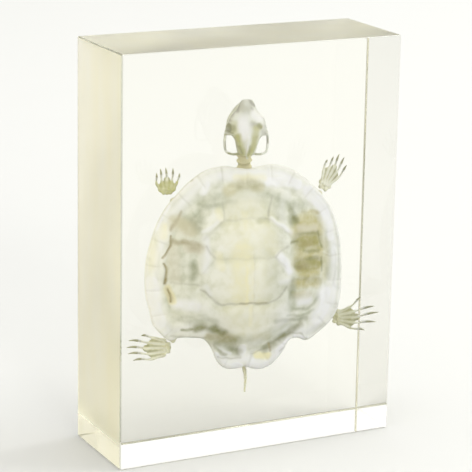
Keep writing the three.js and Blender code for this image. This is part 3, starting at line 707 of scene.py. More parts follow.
def mirrored(points):
    return [(-p[0], *p[1:]) for p in points]


def sided(points, side):
    """Points of the right side, mirrored for the left."""
    return mirrored(points) if side == "left" else list(points)


def evenly(points, count, closed):
    """The same line cut into equal lengths."""
    line = np.vstack([points, points[:1]]) if closed else points
    reach = np.concatenate(([0], np.cumsum(np.linalg.norm(np.diff(line, axis=0), axis=1))))
    wanted = np.linspace(0, reach[-1], count, endpoint=not closed)
    return np.stack([np.interp(wanted, reach, axis) for axis in line.T], axis=1)


def curve_through(points, count, closed=False, per_span=14):
    """Evenly spaced points on a smooth curve through given ones."""
    points = np.array(points, float)
    if closed:
        padded = np.vstack([points[-1:], points, points[:2]])
    else:
        padded = np.vstack([2 * points[0] - points[1], points, 2 * points[-1] - points[-2]])
    line = []
    for p0, p1, p2, p3 in zip(padded, padded[1:], padded[2:], padded[3:]):
        knots = np.cumsum([0] + [np.linalg.norm(b - a) ** 0.5 for a, b in ((p0, p1), (p1, p2), (p2, p3))])
        t0, t1, t2, t3 = knots
        t = np.linspace(t1, t2, per_span, endpoint=False)[:, None]
        a1 = (t1 - t) / (t1 - t0) * p0 + (t - t0) / (t1 - t0) * p1
        a2 = (t2 - t) / (t2 - t1) * p1 + (t - t1) / (t2 - t1) * p2
        a3 = (t3 - t) / (t3 - t2) * p2 + (t - t2) / (t3 - t2) * p3
        b1 = (t2 - t) / (t2 - t0) * a1 + (t - t0) / (t2 - t0) * a2
        b2 = (t3 - t) / (t3 - t1) * a2 + (t - t1) / (t3 - t1) * a3
        line.append((t2 - t) / (t2 - t1) * b1 + (t - t1) / (t2 - t1) * b2)
    line = np.vstack(line if closed else line + [points[-1:]])
    return evenly(line, count, closed)


def whole_edge(half):
    """A closed outline from its right half, which runs from head to tail along the middle line."""
    return list(half) + mirrored(half[-2:0:-1])


def closed_path(loop):
    """A loop with its first point again at its end."""
    return np.vstack([loop, loop[:1]])


def nearest_on_path(places, path):
    """How far each flat place is from a path, and how far along the path its nearest point lies."""
    path = np.asarray(path, float)
    gaps = np.full(len(places), np.inf)
    along = np.zeros(len(places))
    reach = 0.0
    for start, end in zip(path, path[1:]):
        step = end - start
        length = np.hypot(*step)
        share = np.clip((places - start) @ step / length ** 2, 0, 1)
        gap = np.hypot(*(places - start - share[:, None] * step).T)
        nearer = gap < gaps
        gaps[nearer] = gap[nearer]
        along[nearer] = reach + share[nearer] * length
        reach += length
    return gaps, along


def path_gap(places, path):
    return nearest_on_path(places, path)[0]


def inside(places, loop):
    """Which flat places lie inside a closed loop."""
    x, y = places.T
    result = np.zeros(len(places), bool)
    for (ax, ay), (bx, by) in zip(loop, np.roll(loop, -1, axis=0)):
        crosses = (ay > y) != (by > y)
        if ay != by:
            result ^= crosses & (x < (bx - ax) * (y - ay) / (by - ay) + ax)
    return result


def plate_triangles(outline, spacing):
    """A fine flat triangulation of an outline."""
    low, high = outline.min(0), outline.max(0)
    columns = np.arange(low[0], high[0], spacing)
    rows = np.arange(low[1], high[1], spacing * math.sqrt(3) / 2)
    grid = np.array([(x + (i % 2) * spacing / 2, y) for i, y in enumerate(rows) for x in columns])
    grid = grid[inside(grid, outline)]
    grid = grid[path_gap(grid, closed_path(outline)) > spacing / 2]
    count = len(outline)
    rim = [(i, (i + 1) % count) for i in range(count)]
    made = delaunay_2d_cdt([Vector(p) for p in np.vstack([outline, grid])], rim, [], 0, 1e-6)
    places = np.array([tuple(v) for v in made[0]])
    faces = np.array(made[2])
    return places, faces[inside(places[faces].mean(1), outline)]


def plate_mesh(name, places, faces, top, bottom):
    """A closed plate between two height fields over the same flat triangles."""
    count = len(places)
    edges = np.vstack([faces[:, [0, 1]], faces[:, [1, 2]], faces[:, [2, 0]]])
    rim = edges[~np.isin(edges[:, 0] * count + edges[:, 1], edges[:, 1] * count + edges[:, 0])]
    walls = np.vstack([
        np.stack([rim[:, 1], rim[:, 0], rim[:, 0] + count], axis=1),
        np.stack([rim[:, 1], rim[:, 0] + count, rim[:, 1] + count], axis=1),
    ])
    upper = np.column_stack([places, top])
    lower = np.column_stack([places, bottom])
    mesh = bpy.data.meshes.new(name)
    mesh.from_pydata(
        np.vstack([upper, lower]).tolist(), [], np.vstack([faces, faces[:, ::-1] + count, walls]).tolist()
    )
    return mesh


# Round shapes, each a list of vertices and a list of faces.
def loft(stations, sides, squareness=0.85):
    """A closed body along y: each station is y, half width, top and bottom."""
    angles = np.arange(sides) * 2 * math.pi / sides
    across = np.sign(np.cos(angles)) * np.abs(np.cos(angles)) ** squareness
    upward = np.sign(np.sin(angles)) * np.abs(np.sin(angles)) ** squareness
    vertices = []
    for y, half_width, top, bottom in stations:
        vertices += [
            (half_width * u, y, (top + bottom) / 2 + (top - bottom) / 2 * v) for u, v in zip(across, upward)
        ]
    faces = []
    for ring in range(len(stations) - 1):
        for i in range(sides):
            a, b = ring * sides + i, ring * sides + (i + 1) % sides
            faces.append((a, b, b + sides, a + sides))
    last = (len(stations) - 1) * sides
    faces.append(tuple(range(sides))[::-1])
    faces.append(tuple(range(last, last + sides)))
    return vertices, faces


def ellipsoid(centre, size, turn=0.0, detail=3):
    """A closed egg shape, its half sizes along its own axes, turned about z."""
    shape = bmesh.new()
    place = Matrix.Translation(centre) @ Matrix.Rotation(turn, 4, "Z") @ Matrix.Diagonal((*size, 1))
    bmesh.ops.create_icosphere(shape, subdivisions=detail, radius=1, matrix=place)
    vertices = [tuple(v.co) for v in shape.verts]
    faces = [tuple(v.index for v in f.verts) for f in shape.faces]
    shape.free()
    return vertices, faces


def mesh_parts(mesh):
    """A mesh as vertices and faces, and the mesh is removed."""
    vertices = [tuple(v.co) for v in mesh.vertices]
    faces = [tuple(p.vertices) for p in mesh.polygons]
    bpy.data.meshes.remove(mesh)
    return vertices, faces


def joined_mesh(name, shapes):
    """One mesh of several shapes, with its faces turned outward."""
    vertices, faces = [], []
    for more_vertices, more_faces in shapes:
        first = len(vertices)
        vertices += more_vertices
        faces += [tuple(first + i for i in face) for face in more_faces]
    mesh = bpy.data.meshes.new(name)
    mesh.from_pydata(vertices, [], faces)
    shape = bmesh.new()
    shape.from_mesh(mesh)
    bmesh.ops.recalc_face_normals(shape, faces=shape.faces)
    shape.to_mesh(mesh)
    shape.free()
    return mesh


def linked(name, data):
    thing = bpy.data.objects.new(name, data)
    bpy.context.scene.collection.objects.link(thing)
    return thing


def evaluated_mesh(thing):
    """The mesh that a thing's modifiers make. The thing itself is removed."""
    graph = bpy.context.evaluated_depsgraph_get()
    mesh = bpy.data.meshes.new_from_object(thing.evaluated_get(graph))
    bpy.data.objects.remove(thing)
    return mesh


def fused(name, shapes, cuts=(), voxel=FINE_VOXEL, smoothing=4):
    """One closed skin around overlapping shapes, with other shapes cut out of it, lightly smoothed."""
    body = linked(name, joined_mesh(name, shapes))
    first = body.modifiers.new("Fuse", "REMESH")
    first.voxel_size = voxel
    cutter = None
    if cuts:
        cutter = linked(name + "_cutter", joined_mesh(name + "_cutter", cuts))
        cut = body.modifiers.new("Cut", "BOOLEAN")
        cut.operation = "DIFFERENCE"
        cut.solver = "EXACT"
        cut.object = cutter
        again = body.modifiers.new("Fuse again", "REMESH")
        again.voxel_size = voxel
    soften = body.modifiers.new("Soften", "SMOOTH")
    soften.factor = 0.5
    soften.iterations = smoothing
    mesh = evaluated_mesh(body)
    if cutter:
        bpy.data.objects.remove(cutter)
    return mesh


# Bones along paths, by one Geometry Nodes tree.
class NodeBoard:
    """Short ways to place and wire nodes in a tree."""

    def __init__(self, tree):
        self.tree = tree

    def node(self, kind, inputs=None, **settings):
        """Adds a node with its settings and inputs."""
        made = self.tree.nodes.new(kind)
        for name, value in settings.items():
            setattr(made, name, value)
        self.give(made, inputs or {})
        return made

    def give(self, made, inputs):
        """Links or sets inputs of a node, by their names."""
        for name, value in inputs.items():
            self.feed(made.inputs[name], value)

    def feed(self, target, value):
        """Links a socket, or sets a plain value."""
        if isinstance(value, bpy.types.NodeSocket):
            self.tree.links.new(value, target)
        else:
            target.default_value = value

    def math(self, operation, *values):
        made = self.node("ShaderNodeMath", operation=operation)
        for target, value in zip(made.inputs, values):
            self.feed(target, value)
        return made.outputs[0]

    def blend(self, share, base, colour):
        """A colour laid over another by a share."""
        inputs = {"Factor": share, "A": base, "B": colour}
        return self.node("ShaderNodeMix", inputs, data_type="RGBA").outputs["Result"]

    def mix(self, ends, share):
        """A value between two ends, by a share."""
        return self.math("MULTIPLY_ADD", share, ends[1] - ends[0], ends[0])

    def step(self, value, low, high):
        """A soft step from 0 to 1 between two values."""
        inputs = {"Value": value, "From Min": low, "From Max": high}
        return self.node("ShaderNodeMapRange", inputs, interpolation_type="SMOOTHSTEP").outputs["Result"]

    def noise(self, place, scale, detail):
        inputs = {"Vector": place, "Scale": scale, "Detail": detail}
        return self.node("ShaderNodeTexNoise", inputs).outputs["Fac"]

    def attribute(self, name):
        return self.node("ShaderNodeAttribute", attribute_name=name).outputs

    def object_place(self):
        return self.node("ShaderNodeTexCoord").outputs["Object"]


def add_sockets(tree, way, sockets):
    """Gives a node group its inputs or outputs, by name and kind."""
    for name, kind in sockets.items():
        tree.interface.new_socket(name, in_out=way, socket_type="NodeSocket" + kind)


def chain_tree():
    """Tubes along every path that swell at each joint and close round, with a knob on each joint."""
    tree = bpy.data.node_groups.new("Bone chain", "GeometryNodeTree")
    add_sockets(tree, "INPUT", {
        "Paths": "Geometry", "Bones": "Int", "Steps": "Int", "Sides": "Int", "Root radius": "Float",
        "Tip radius": "Float", "Waist": "Float", "Flatness": "Float", "Knob": "Vector",
        "Material": "Material",
    })
    add_sockets(tree, "OUTPUT", {"Bones": "Geometry"})
    board = NodeBoard(tree)
    given = board.node("NodeGroupInput").outputs
    even = board.node("GeometryNodeResampleCurve", {"Curve": given["Paths"], "Count": given["Steps"]})
    upright = board.node("GeometryNodeSetCurveNormal", {"Curve": even.outputs["Curve"]}, mode="Z_UP")

    place = board.node("GeometryNodeSplineParameter").outputs
    whole = board.node("GeometryNodeSplineLength").outputs
    spread = board.math("SUBTRACT", given["Tip radius"], given["Root radius"])
    taper = board.math("MULTIPLY_ADD", place["Factor"], spread, given["Root radius"])
    turns = board.math("MULTIPLY", place["Factor"], given["Bones"])
    wave = board.math("COSINE", board.math("MULTIPLY", turns, 2 * math.pi))
    dip = board.math("MULTIPLY_ADD", wave, -0.5, 0.5)
    slim = board.math("SUBTRACT", 1.0, board.math("MULTIPLY", dip, given["Waist"]))
    radius = board.math("MULTIPLY", taper, slim)
    from_end = board.math("SUBTRACT", whole["Length"], place["Length"])
    to_end = board.math("MINIMUM", place["Length"], from_end)
    share = board.math("MINIMUM", board.math("DIVIDE", to_end, radius), 1.0)
    left = board.math("SUBTRACT", 1.0, share)
    rounding = board.math("SQRT", board.math("SUBTRACT", 1.0, board.math("MULTIPLY", left, left)))
    rounded = board.math("MAXIMUM", rounding, BLUNT_END)

    kept = {"Geometry": upright.outputs["Curve"], "Name": "thickness", "Value": taper}
    store = board.node("GeometryNodeStoreNamedAttribute", kept, data_type="FLOAT", domain="POINT")
    circle = board.node("GeometryNodeCurvePrimitiveCircle", {"Resolution": given["Sides"]})
    squeeze = board.node("ShaderNodeCombineXYZ", {"X": 1.0, "Y": given["Flatness"], "Z": 1.0})
    section = board.node("GeometryNodeTransform", {
        "Geometry": circle.outputs["Curve"], "Scale": squeeze.outputs["Vector"],
    })
    tube = board.node("GeometryNodeCurveToMesh", {
        "Curve": store.outputs["Geometry"], "Profile Curve": section.outputs["Geometry"],
        "Scale": board.math("MULTIPLY", radius, rounded), "Fill Caps": True,
    })

    joints = board.node("GeometryNodeCurveToPoints", {
        "Curve": store.outputs["Geometry"], "Count": board.math("ADD", given["Bones"], 1.0),
    })
    thickness = board.node("GeometryNodeInputNamedAttribute", {"Name": "thickness"}, data_type="FLOAT")
    swell = {"Vector": given["Knob"], "Scale": thickness.outputs["Attribute"]}
    size = board.node("ShaderNodeVectorMath", swell, operation="SCALE")
    ball = board.node("GeometryNodeMeshIcoSphere", {"Radius": 1.0, "Subdivisions": 3})
    knobs = board.node("GeometryNodeInstanceOnPoints", {
        "Points": joints.outputs["Points"], "Instance": ball.outputs["Mesh"],
        "Rotation": joints.outputs["Rotation"], "Scale": size.outputs["Vector"],
    })

    both = board.node("GeometryNodeJoinGeometry")
    for part in (tube.outputs["Mesh"], knobs.outputs["Instances"]):
        board.feed(both.inputs["Geometry"], part)
    real = board.node("GeometryNodeRealizeInstances", {"Geometry": both.outputs["Geometry"]})
    finish = board.node("GeometryNodeSetMaterial", {
        "Geometry": real.outputs["Geometry"], "Material": given["Material"],
    })
    board.node("NodeGroupOutput", {"Bones": finish.outputs["Geometry"]})
    return tree


def chain(
    paths, material, bones=1, root=1.0, tip=1.0, waist=None, flatness=1.0, knob=(0.9, 0.9, 0.9), sides=14
):
    """Bones along smooth paths through given points, as vertices and faces."""
    tree = bpy.data.node_groups.get("Bone chain") or chain_tree()
    if waist is None:
        waist = bpy.context.scene.cast_bone.joint_waist
    curve = bpy.data.curves.new("bone_paths", "CURVE")
    curve.dimensions = "3D"
    for path in paths:
        line = curve_through(path, PATH_STEPS)
        spline = curve.splines.new("POLY")
        spline.points.add(len(line) - 1)
        for point, place in zip(spline.points, line):
            point.co = (*place, 1)
    thing = linked("bone_paths", curve)
    modifier = thing.modifiers.new("Bone chain", "NODES")
    modifier.node_group = tree
    steps = max(PATH_STEPS, STEPS_PER_BONE * bones)
    values = {
        "Bones": bones, "Steps": steps, "Sides": sides, "Root radius": root, "Tip radius": tip,
        "Waist": waist, "Flatness": flatness, "Knob": knob, "Material": material,
    }
    for socket in tree.interface.items_tree:
        if socket.in_out == "INPUT" and socket.name in values:
            modifier[socket.identifier] = values[socket.name]
    mesh = evaluated_mesh(thing)
    bpy.data.curves.remove(curve)
    return mesh_parts(mesh)


# Marks on bone: shares of each stain, painted shade and painted highlight, kept on the mesh.
def vertex_places(mesh):
    flat = np.zeros(len(mesh.vertices) * 3)
    mesh.vertices.foreach_get("co", flat)
    return flat.reshape(-1, 3)


def keep_steep_shade(mesh):
    """Stores a painted shade for sides that lean over from the skeleton's flat layout, as a share of its
    tone.
    """
    lean = 1 - np.abs([v.normal.z for v in mesh.vertices])
    mesh.attributes.new("steep", "FLOAT", "POINT").data.foreach_set("value", STEEP_SHADE * lean ** 2)


def keep_marks(mesh, name, shares):
    """Stores four shares a vertex, each from 0 to 1."""
    layer = mesh.attributes.new(name, "FLOAT_COLOR", "POINT")
    zero = np.zeros(len(mesh.vertices))
    stacked = np.stack([zero + share for share in shares], axis=1)
    layer.data.foreach_set("color", np.clip(stacked, 0, 1).astype(np.float32).ravel())


def keep_plate_marks(mesh, upper, lower):
    """Stores the shell's stains, painted shade and painted highlights on the upper and then the lower side
    of a plate.
    """
    zero = np.zeros(len(mesh.vertices) // 2)
    for layer, colours in SHELL_LAYERS.items():
        keep_marks(mesh, layer, [
            np.concatenate([zero + upper.get(colour, 0), zero + lower.get(colour, 0)]) for colour in colours
        ])


# Materials.
def opaque(colour):
    return (*colour, 1)


def new_material(name):
    """A bare material, its board, its surface shader and its output."""
    material = bpy.data.materials.new(name)
    material.use_nodes = True
    material.node_tree.nodes.clear()
    board = NodeBoard(material.node_tree)
    surface = board.node("ShaderNodeBsdfPrincipled")
    output = board.node("ShaderNodeOutputMaterial", {"Surface": surface.outputs["BSDF"]})
    return material, board, surface, output


def grain_group():
    """Bone grain shared by every bone: cloudy colour, pores and a fine height."""
    group = bpy.data.node_groups.get("Bone grain")
    if group:
        return group
    group = bpy.data.node_groups.new("Bone grain", "ShaderNodeTree")
    add_sockets(group, "INPUT", {
        "Vector": "Vector", "Bone": "Color", "Deep": "Color", "Cloud size": "Float", "Pore size": "Float",
    })
    add_sockets(group, "OUTPUT", {
        "Color": "Color", "Height": "Float", "Roughness": "Float", "Stain hold": "Float",
    })
    board = NodeBoard(group)
    given = board.node("NodeGroupInput").outputs
    clouds = board.noise(given["Vector"], board.math("DIVIDE", 1.0, given["Cloud size"]), detail=4.0)
    pores = board.node("ShaderNodeTexVoronoi", {
        "Vector": given["Vector"], "Scale": board.math("DIVIDE", 1.0, given["Pore size"]),
    }).outputs["Distance"]
    patches = board.step(clouds, *CLOUD_ENDS)
    solid = board.step(pores, *PORE_ENDS)
    pitted = board.math("MULTIPLY", board.math("SUBTRACT", 1.0, solid), PORE_DULLNESS)
    dull = board.math("MAXIMUM", patches, pitted)
    board.node("NodeGroupOutput", {
        "Color": board.blend(dull, given["Bone"], given["Deep"]),
        "Height": board.math("MULTIPLY_ADD", clouds, CLOUD_LIFT, solid),
        "Roughness": board.mix(BONE_ROUGHNESS, patches),
        "Stain hold": board.mix(STAIN_HOLD, clouds),
    })
    return group


def bone_material(name, bone, deep, stains, steep_shade_colour, cloud, pore):
    """Bone with grain, its stains, painted shade and painted highlights laid on by the shares kept on the
    mesh, and a painted shade on sloping sides.
    """
    material, board, surface, _ = new_material(name)
    grain = board.node("ShaderNodeGroup", node_tree=grain_group())
    board.give(grain, {
        "Vector": board.object_place(), "Bone": opaque(bone), "Deep": opaque(deep),
        "Cloud size": cloud * MM, "Pore size": pore * MM,
    })
    colour = grain.outputs["Color"]
    for layer, colours in stains.items():
        marks = board.attribute(layer)
        parts = board.node("ShaderNodeSeparateColor", {"Color": marks["Color"]}).outputs
        shares = [parts["Red"], parts["Green"], parts["Blue"], marks["Alpha"]]
        for share, stain in zip(shares, colours):
            held = board.math("MULTIPLY", share, grain.outputs["Stain hold"])
            colour = board.blend(held, colour, opaque(stain))
    relief = board.node("ShaderNodeBump", {
        "Strength": GRAIN_STRENGTH, "Distance": GRAIN_DEPTH * MM, "Height": grain.outputs["Height"],
    })
    board.give(surface, {
        # Sloping sides take a painted shade in the kind's own shade colour.
        "Base Color": board.blend(board.attribute("steep")["Fac"], colour, opaque(steep_shade_colour)),
        "Roughness": grain.outputs["Roughness"],
        "Normal": relief.outputs["Normal"],
        "Specular IOR Level": BONE_SHINE,
    })
    return material


def stock_bone(kind, settings):
    """One of the kinds of bone, made when it is first asked for."""
    bone, deep, stains, steep_shade_colour, cloud, pore = BONE_KINDS[kind]
    colours = {"marks": [getattr(settings, stain) for stain in stains]}
    return bpy.data.materials.get(kind) or bone_material(
        kind, getattr(settings, bone), getattr(settings, deep), colours, getattr(settings, steep_shade_colour),
        cloud, pore,
    )


def shell_material(settings):
    stains = {layer: [getattr(settings, name) for name in names] for layer, names in SHELL_LAYERS.items()}
    return bone_material(
        # The shell's sloping sides take the deep bone colour as a painted shade.
        "shell_bone", settings.bone, settings.deep, stains, settings.deep, SHELL_CLOUD, SHELL_PORE
    )


def resin_material(settings):
    """Clear cast resin: plain transmission and absorption, satin on the left side, and a painted shade on
    the edges.
    """
    material, board, surface, output = new_material("clear_resin")
    place = board.object_place()
    scuffs = board.noise(place, SCUFF_SCALE, detail=3.0)
    stretch = board.node("ShaderNodeMapping", {"Vector": place, "Scale": STREAK_STRETCH})
    streaks = board.noise(stretch.outputs["Vector"], STREAK_SCALE, detail=2.0)
    satin = board.attribute("satin")["Fac"]
    streaked = board.math("MULTIPLY", board.math("SQRT", satin), board.mix(STREAK_SHARE, streaks))
    colour = board.blend(streaked, WHITE, opaque(settings.streak))
    height = board.node("ShaderNodeSeparateXYZ", {"Vector": place}).outputs["Z"]
    above_foot = board.step(height, *[level * MM for level in SATIN_FOOT])
    cloudy = board.mix([share * settings.satin for share in SATIN_SHARE], scuffs)
    dimples = board.node("ShaderNodeBump", {
        "Strength": DIMPLE_STRENGTH, "Distance": DIMPLE_DEPTH * MM, "Height": scuffs,
    })
    board.give(surface, {
        # The edges take a painted shade by the share kept on the mesh.
        "Base Color": board.blend(board.attribute("edge")["Fac"], colour, opaque(settings.edge)),
        "Roughness": board.math("MULTIPLY", board.math("MULTIPLY", satin, above_foot), cloudy),
        "Normal": dimples.outputs["Normal"],
        "Transmission Weight": 1.0,
        "IOR": settings.ior,
    })
    depth = {"Color": opaque(settings.tint), "Density": settings.density}
    board.give(output, {"Volume": board.node("ShaderNodeVolumeAbsorption", depth).outputs["Volume"]})
    return material


def floor_material(settings):
    """Pale paper with faint fibres."""
    material, board, surface, _ = new_material("studio_paper")
    fibres = board.noise(board.object_place(), FIBRE_SCALE, detail=6.0)
    fleck = [FLOOR_FLECK * share for share in settings.floor]
    board.give(surface, {
        "Base Color": board.blend(fibres, opaque(settings.floor), opaque(fleck)),
        "Roughness": 0.9,
        "Specular IOR Level": 0.1,
    })
    return material


def set_piece(name, mesh, material, slot, *nodes):
    """Puts a finished mesh in the frame as the piece that stands for some of the solids."""
    mesh.materials.clear()
    mesh.materials.append(material)
    mesh.shade_smooth()
    mesh.update()
    piece = linked(name, mesh)
    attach(piece, "root")
    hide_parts(*nodes)
    return piece


def set_bone(name, mesh, material, slot, node):
    """Stands a flat-laid bone up in the block as the piece for one solid."""
    keep_steep_shade(mesh)
    mesh.transform(FLAT_TO_BLOCK)
    set_piece(name, mesh, material, slot, node)


# The shell.
def dome_height(places):
    """Height of the carapace before its relief."""
    share = np.minimum(1, np.hypot(places[:, 0] / DOME_WIDTH, places[:, 1] / DOME_LENGTH))
    return RIM_HEIGHT + (DOME_HEIGHT - RIM_HEIGHT) * (1 - share ** DOME_FLATNESS) ** DOME_SKIRT


def edge_rounding(rim):
    """How much of its half thickness a plate has, by the distance from its rim."""
    return np.sqrt(1 - (1 - np.clip(rim / EDGE_ROUND, EDGE_BLUNTNESS, 1)) ** 2)


def stroke_path(path):
    return curve_through(path, STROKE_STEPS * len(path))


def stroke_share(places, strength, width, softness, path):
    """How strongly one brush stroke covers each flat place."""
    gap = path_gap(places, stroke_path(path))
    return strength * (1 - smooth_step(gap, *around(width / 2, softness / 2)))


def ripple(places, pitch):
    """An uneven wave over flat places, about -1 to 1."""
    x, y = places.T / pitch * 2 * math.pi
    bent = np.sin(x + 0.7 * np.sin(0.6 * y))
    crossing = np.sin(0.8 * y - 0.5 * x + 1.3)
    slow = np.sin(0.45 * (x + y) + 2.1)
    return (bent + crossing + slow) / 3


def mark_share(places, strokes):
    """How strongly a set of brush strokes covers each flat place, with hand-drawn edges."""
    waver = [ripple(places + shift, pitch) for shift, pitch in STROKE_WAVES]
    drawn = places + STROKE_WAVER * np.stack(waver, axis=1)
    return np.max([stroke_share(drawn, *stroke) for stroke in strokes], axis=0)


def carapace_mesh(settings):
    """The domed shell with its ring of plates, panels, keel, folds and turned-up rear rim."""
    outline = curve_through(CARAPACE_EDGE, CARAPACE_EDGE_STEPS, closed=True)[::-1]
    places, faces = plate_triangles(outline, PLATE_SPACING)
    x, y = places.T
    rim, along = nearest_on_path(places, closed_path(outline))
    girth = np.linalg.norm(np.diff(closed_path(outline), axis=0), axis=1).sum()
    pitch = girth / RING_PLATES
    suture_gap = np.abs(along / pitch - np.round(along / pitch)) * pitch
    scalloped = rim + RING_SCALLOP * np.cos(2 * math.pi * along / pitch)
    ring = 1 - smooth_step(scalloped, *around(RING_WIDTH, FORM_BLUR))
    suture = bump(suture_gap, SUTURE_WIDTH) * ring
    gutter = bump(rim - RING_WIDTH - GUTTER_OFFSET, GUTTER_WIDTH)
    middle = within(x, around(PLATE_LEFT, FORM_BLUR), around(PLATE_RIGHT, FORM_BLUR))
    flank = (1 - middle) * (1 - ring) * within(y, *FLANK_ENDS)
    window = np.max([stroke_share(places, *WINDOW_STROKE, bar) for bar in RIB_WINDOWS], axis=0)
    keel = bump(x - KEEL_PLACE, KEEL_WIDTH) * within(y, *KEEL_ENDS)
    share = {colour: mark_share(places, strokes) for colour, strokes in SHELL_MARKS.items()}
    folds = share["white"] - share["shade"] - share["olive"] + FOLD_UNEVENNESS * ripple(places, FOLD_PITCH)
    seams = [stroke_path(stroke[-1]) for stroke in SHELL_MARKS["line"]]
    seams += [[(edge, end) for end in PLATE_SEAM_ENDS] for edge in (PLATE_LEFT, PLATE_RIGHT)]
    seam_gap = np.min([path_gap(places, seam) for seam in seams], axis=0)

    relief = (
        settings.ring_swell / MM * np.sin(np.clip(scalloped / RING_WIDTH, 0, 1) * math.pi)
        - GUTTER_DEPTH * gutter
        - FLANK_DEPTH * flank
        - WINDOW_DEPTH * window
        + settings.keel_height / MM * keel
        + settings.panel_rise / MM * smooth_step(seam_gap, *PANEL_SLOPE) * (1 - ring)
        - settings.furrow_depth / MM * share["line"]
        + settings.fold_depth / MM * folds
        - SLIT_DEPTH * share["brown"]
        - SUTURE_DEPTH * suture
    )
    flare = (1 - smooth_step(rim, *FLARE_INSIDE)) * smooth_step(-y, *FLARE_START)
    half = CARAPACE_THICKNESS / 2
    middle_level = dome_height(places) + settings.rear_flare / MM * flare - half
    swell = half * edge_rounding(rim)
    mesh = plate_mesh("carapace_bone", places, faces, middle_level + relief + swell, middle_level - swell)

    # Painted highlights on the ring's bulge and the raised panels, and painted shade in the gutter, on the
    # flanks and along the seams.
    cloud = 0.5 + 0.5 * ripple(places, CLOUD_PITCH)
    panel = smooth_step(seam_gap, *PANEL_FADE) * (1 - ring)
    share["white"] = np.maximum.reduce([
        share["white"],
        bump(rim - RING_MIDDLE, RING_MIDDLE_WIDTH) * mix(RING_WHITE_AND_HIGHLIGHT, cloud),
        RIM_WHITE * bump(rim, SEAM_BLUR),
        PANEL_HIGHLIGHT * panel * cloud * middle,
    ])
    share["line"] = np.maximum(share["line"], SUTURE_LINE * suture * cloud)
    share["shade"] = np.maximum.reduce([
        share["shade"],
        gutter * mix(GUTTER_SHADE, cloud),
        FLANK_SHADE * flank,
        SEAM_SHADE * bump(seam_gap, SEAM_BLUR) * (1 - ring),
    ])
    keep_plate_marks(mesh, share, CARAPACE_INSIDE)
    return mesh


def plastron_mesh(settings):
    """The belly plate with its furrows, rising to a bridge on each side."""
    outline = curve_through(whole_edge(PLASTRON_EDGE), PLASTRON_EDGE_STEPS, closed=True)[::-1]
    places, faces = plate_triangles(outline, PLATE_SPACING)
    x = places[:, 0]
    rim = path_gap(places, closed_path(outline))
    rise = smooth_step(np.abs(x), BRIDGE_START, BRIDGE_END)
    lines = [
        [(-wide, y + FURROW_RISE), (0, y - FURROW_DIP), (wide, y + FURROW_RISE)]
        for y, wide in PLASTRON_FURROWS
    ]
    lines.append(PLASTRON_MIDDLE)
    furrow = bump(np.min([path_gap(places, line) for line in lines], axis=0), FURROW_WIDTH)
    half = PLASTRON_THICKNESS / 2
    middle = PLASTRON_DEPTH + (BRIDGE_HEIGHT - PLASTRON_DEPTH) * rise + half
    swell = half * edge_rounding(rim)
    under = middle - swell + settings.furrow_depth / MM * furrow
    mesh = plate_mesh("plastron_bone", places, faces, middle + swell, under)
    # The inside face: ochre with a painted shade. The outside: painted shade as it rises to the bridges, a
    # pale rim, a yellow middle and grey furrows with a painted shade.
    inner = {"ochre": 0.55, "shade": 0.2}
    outer = {
        "shade": 0.3 * rise, "white": 0.5 * bump(rim, 3), "yellow": 0.5 * bump(x, 6), "line": 0.6 * furrow,
        "ochre": 0.12 * rise,
    }
    keep_plate_marks(mesh, inner, outer)
    return mesh


# The other bones.
def skull_mesh(material):
    """The skull with its cheek arches, eye bars and crests, and its eye sockets and nostril cut out."""
    shapes = [loft(curve_through(SKULL_STATIONS, SKULL_STEPS), SKULL_SIDES)]
    shapes.append(chain([CREST], material, root=0.9, tip=0.6, waist=0.0))
    for side in ("left", "right"):
        shapes.append(chain([sided(CHEEK_ARCH, side)], material, bones=2, root=0.6, tip=0.5, waist=0.1))
        shapes.append(chain([sided(EYE_BAR, side)], material, root=0.7, tip=0.6, waist=0.1))
        shapes.append(chain([sided(CREST_SIDE, side)], material, root=0.6, tip=0.5, waist=0.1))
    cuts = [ellipsoid(place, EYE_SOCKET_SIZE) for place in [EYE_SOCKET, *mirrored([EYE_SOCKET])]]
    cuts.append(ellipsoid(NOSTRIL, NOSTRIL_SIZE))
    mesh = fused("skull_bone", shapes, cuts)
    mesh.transform(Matrix.Translation((HEAD_SHIFT, 0, 0)))
    places = vertex_places(mesh)
    upper = smooth_step(places[:, 2], *SKULL_UPPER_SIDE)
    shares = [mark_share(places[:, :2], strokes) for strokes in HEAD_MARKS.values()]
    keep_marks(mesh, "marks", [upper * share for share in shares])
    return mesh


def plain_marks(mesh, share=0.3):
    """A faint darker colour toward the undersides of the inner bones."""
    low = 1 - smooth_step(vertex_places(mesh)[:, 2], *UNDERSIDE)
    keep_marks(mesh, "marks", [0.0, 0.0, share * low, 0.1 * low])
    return mesh


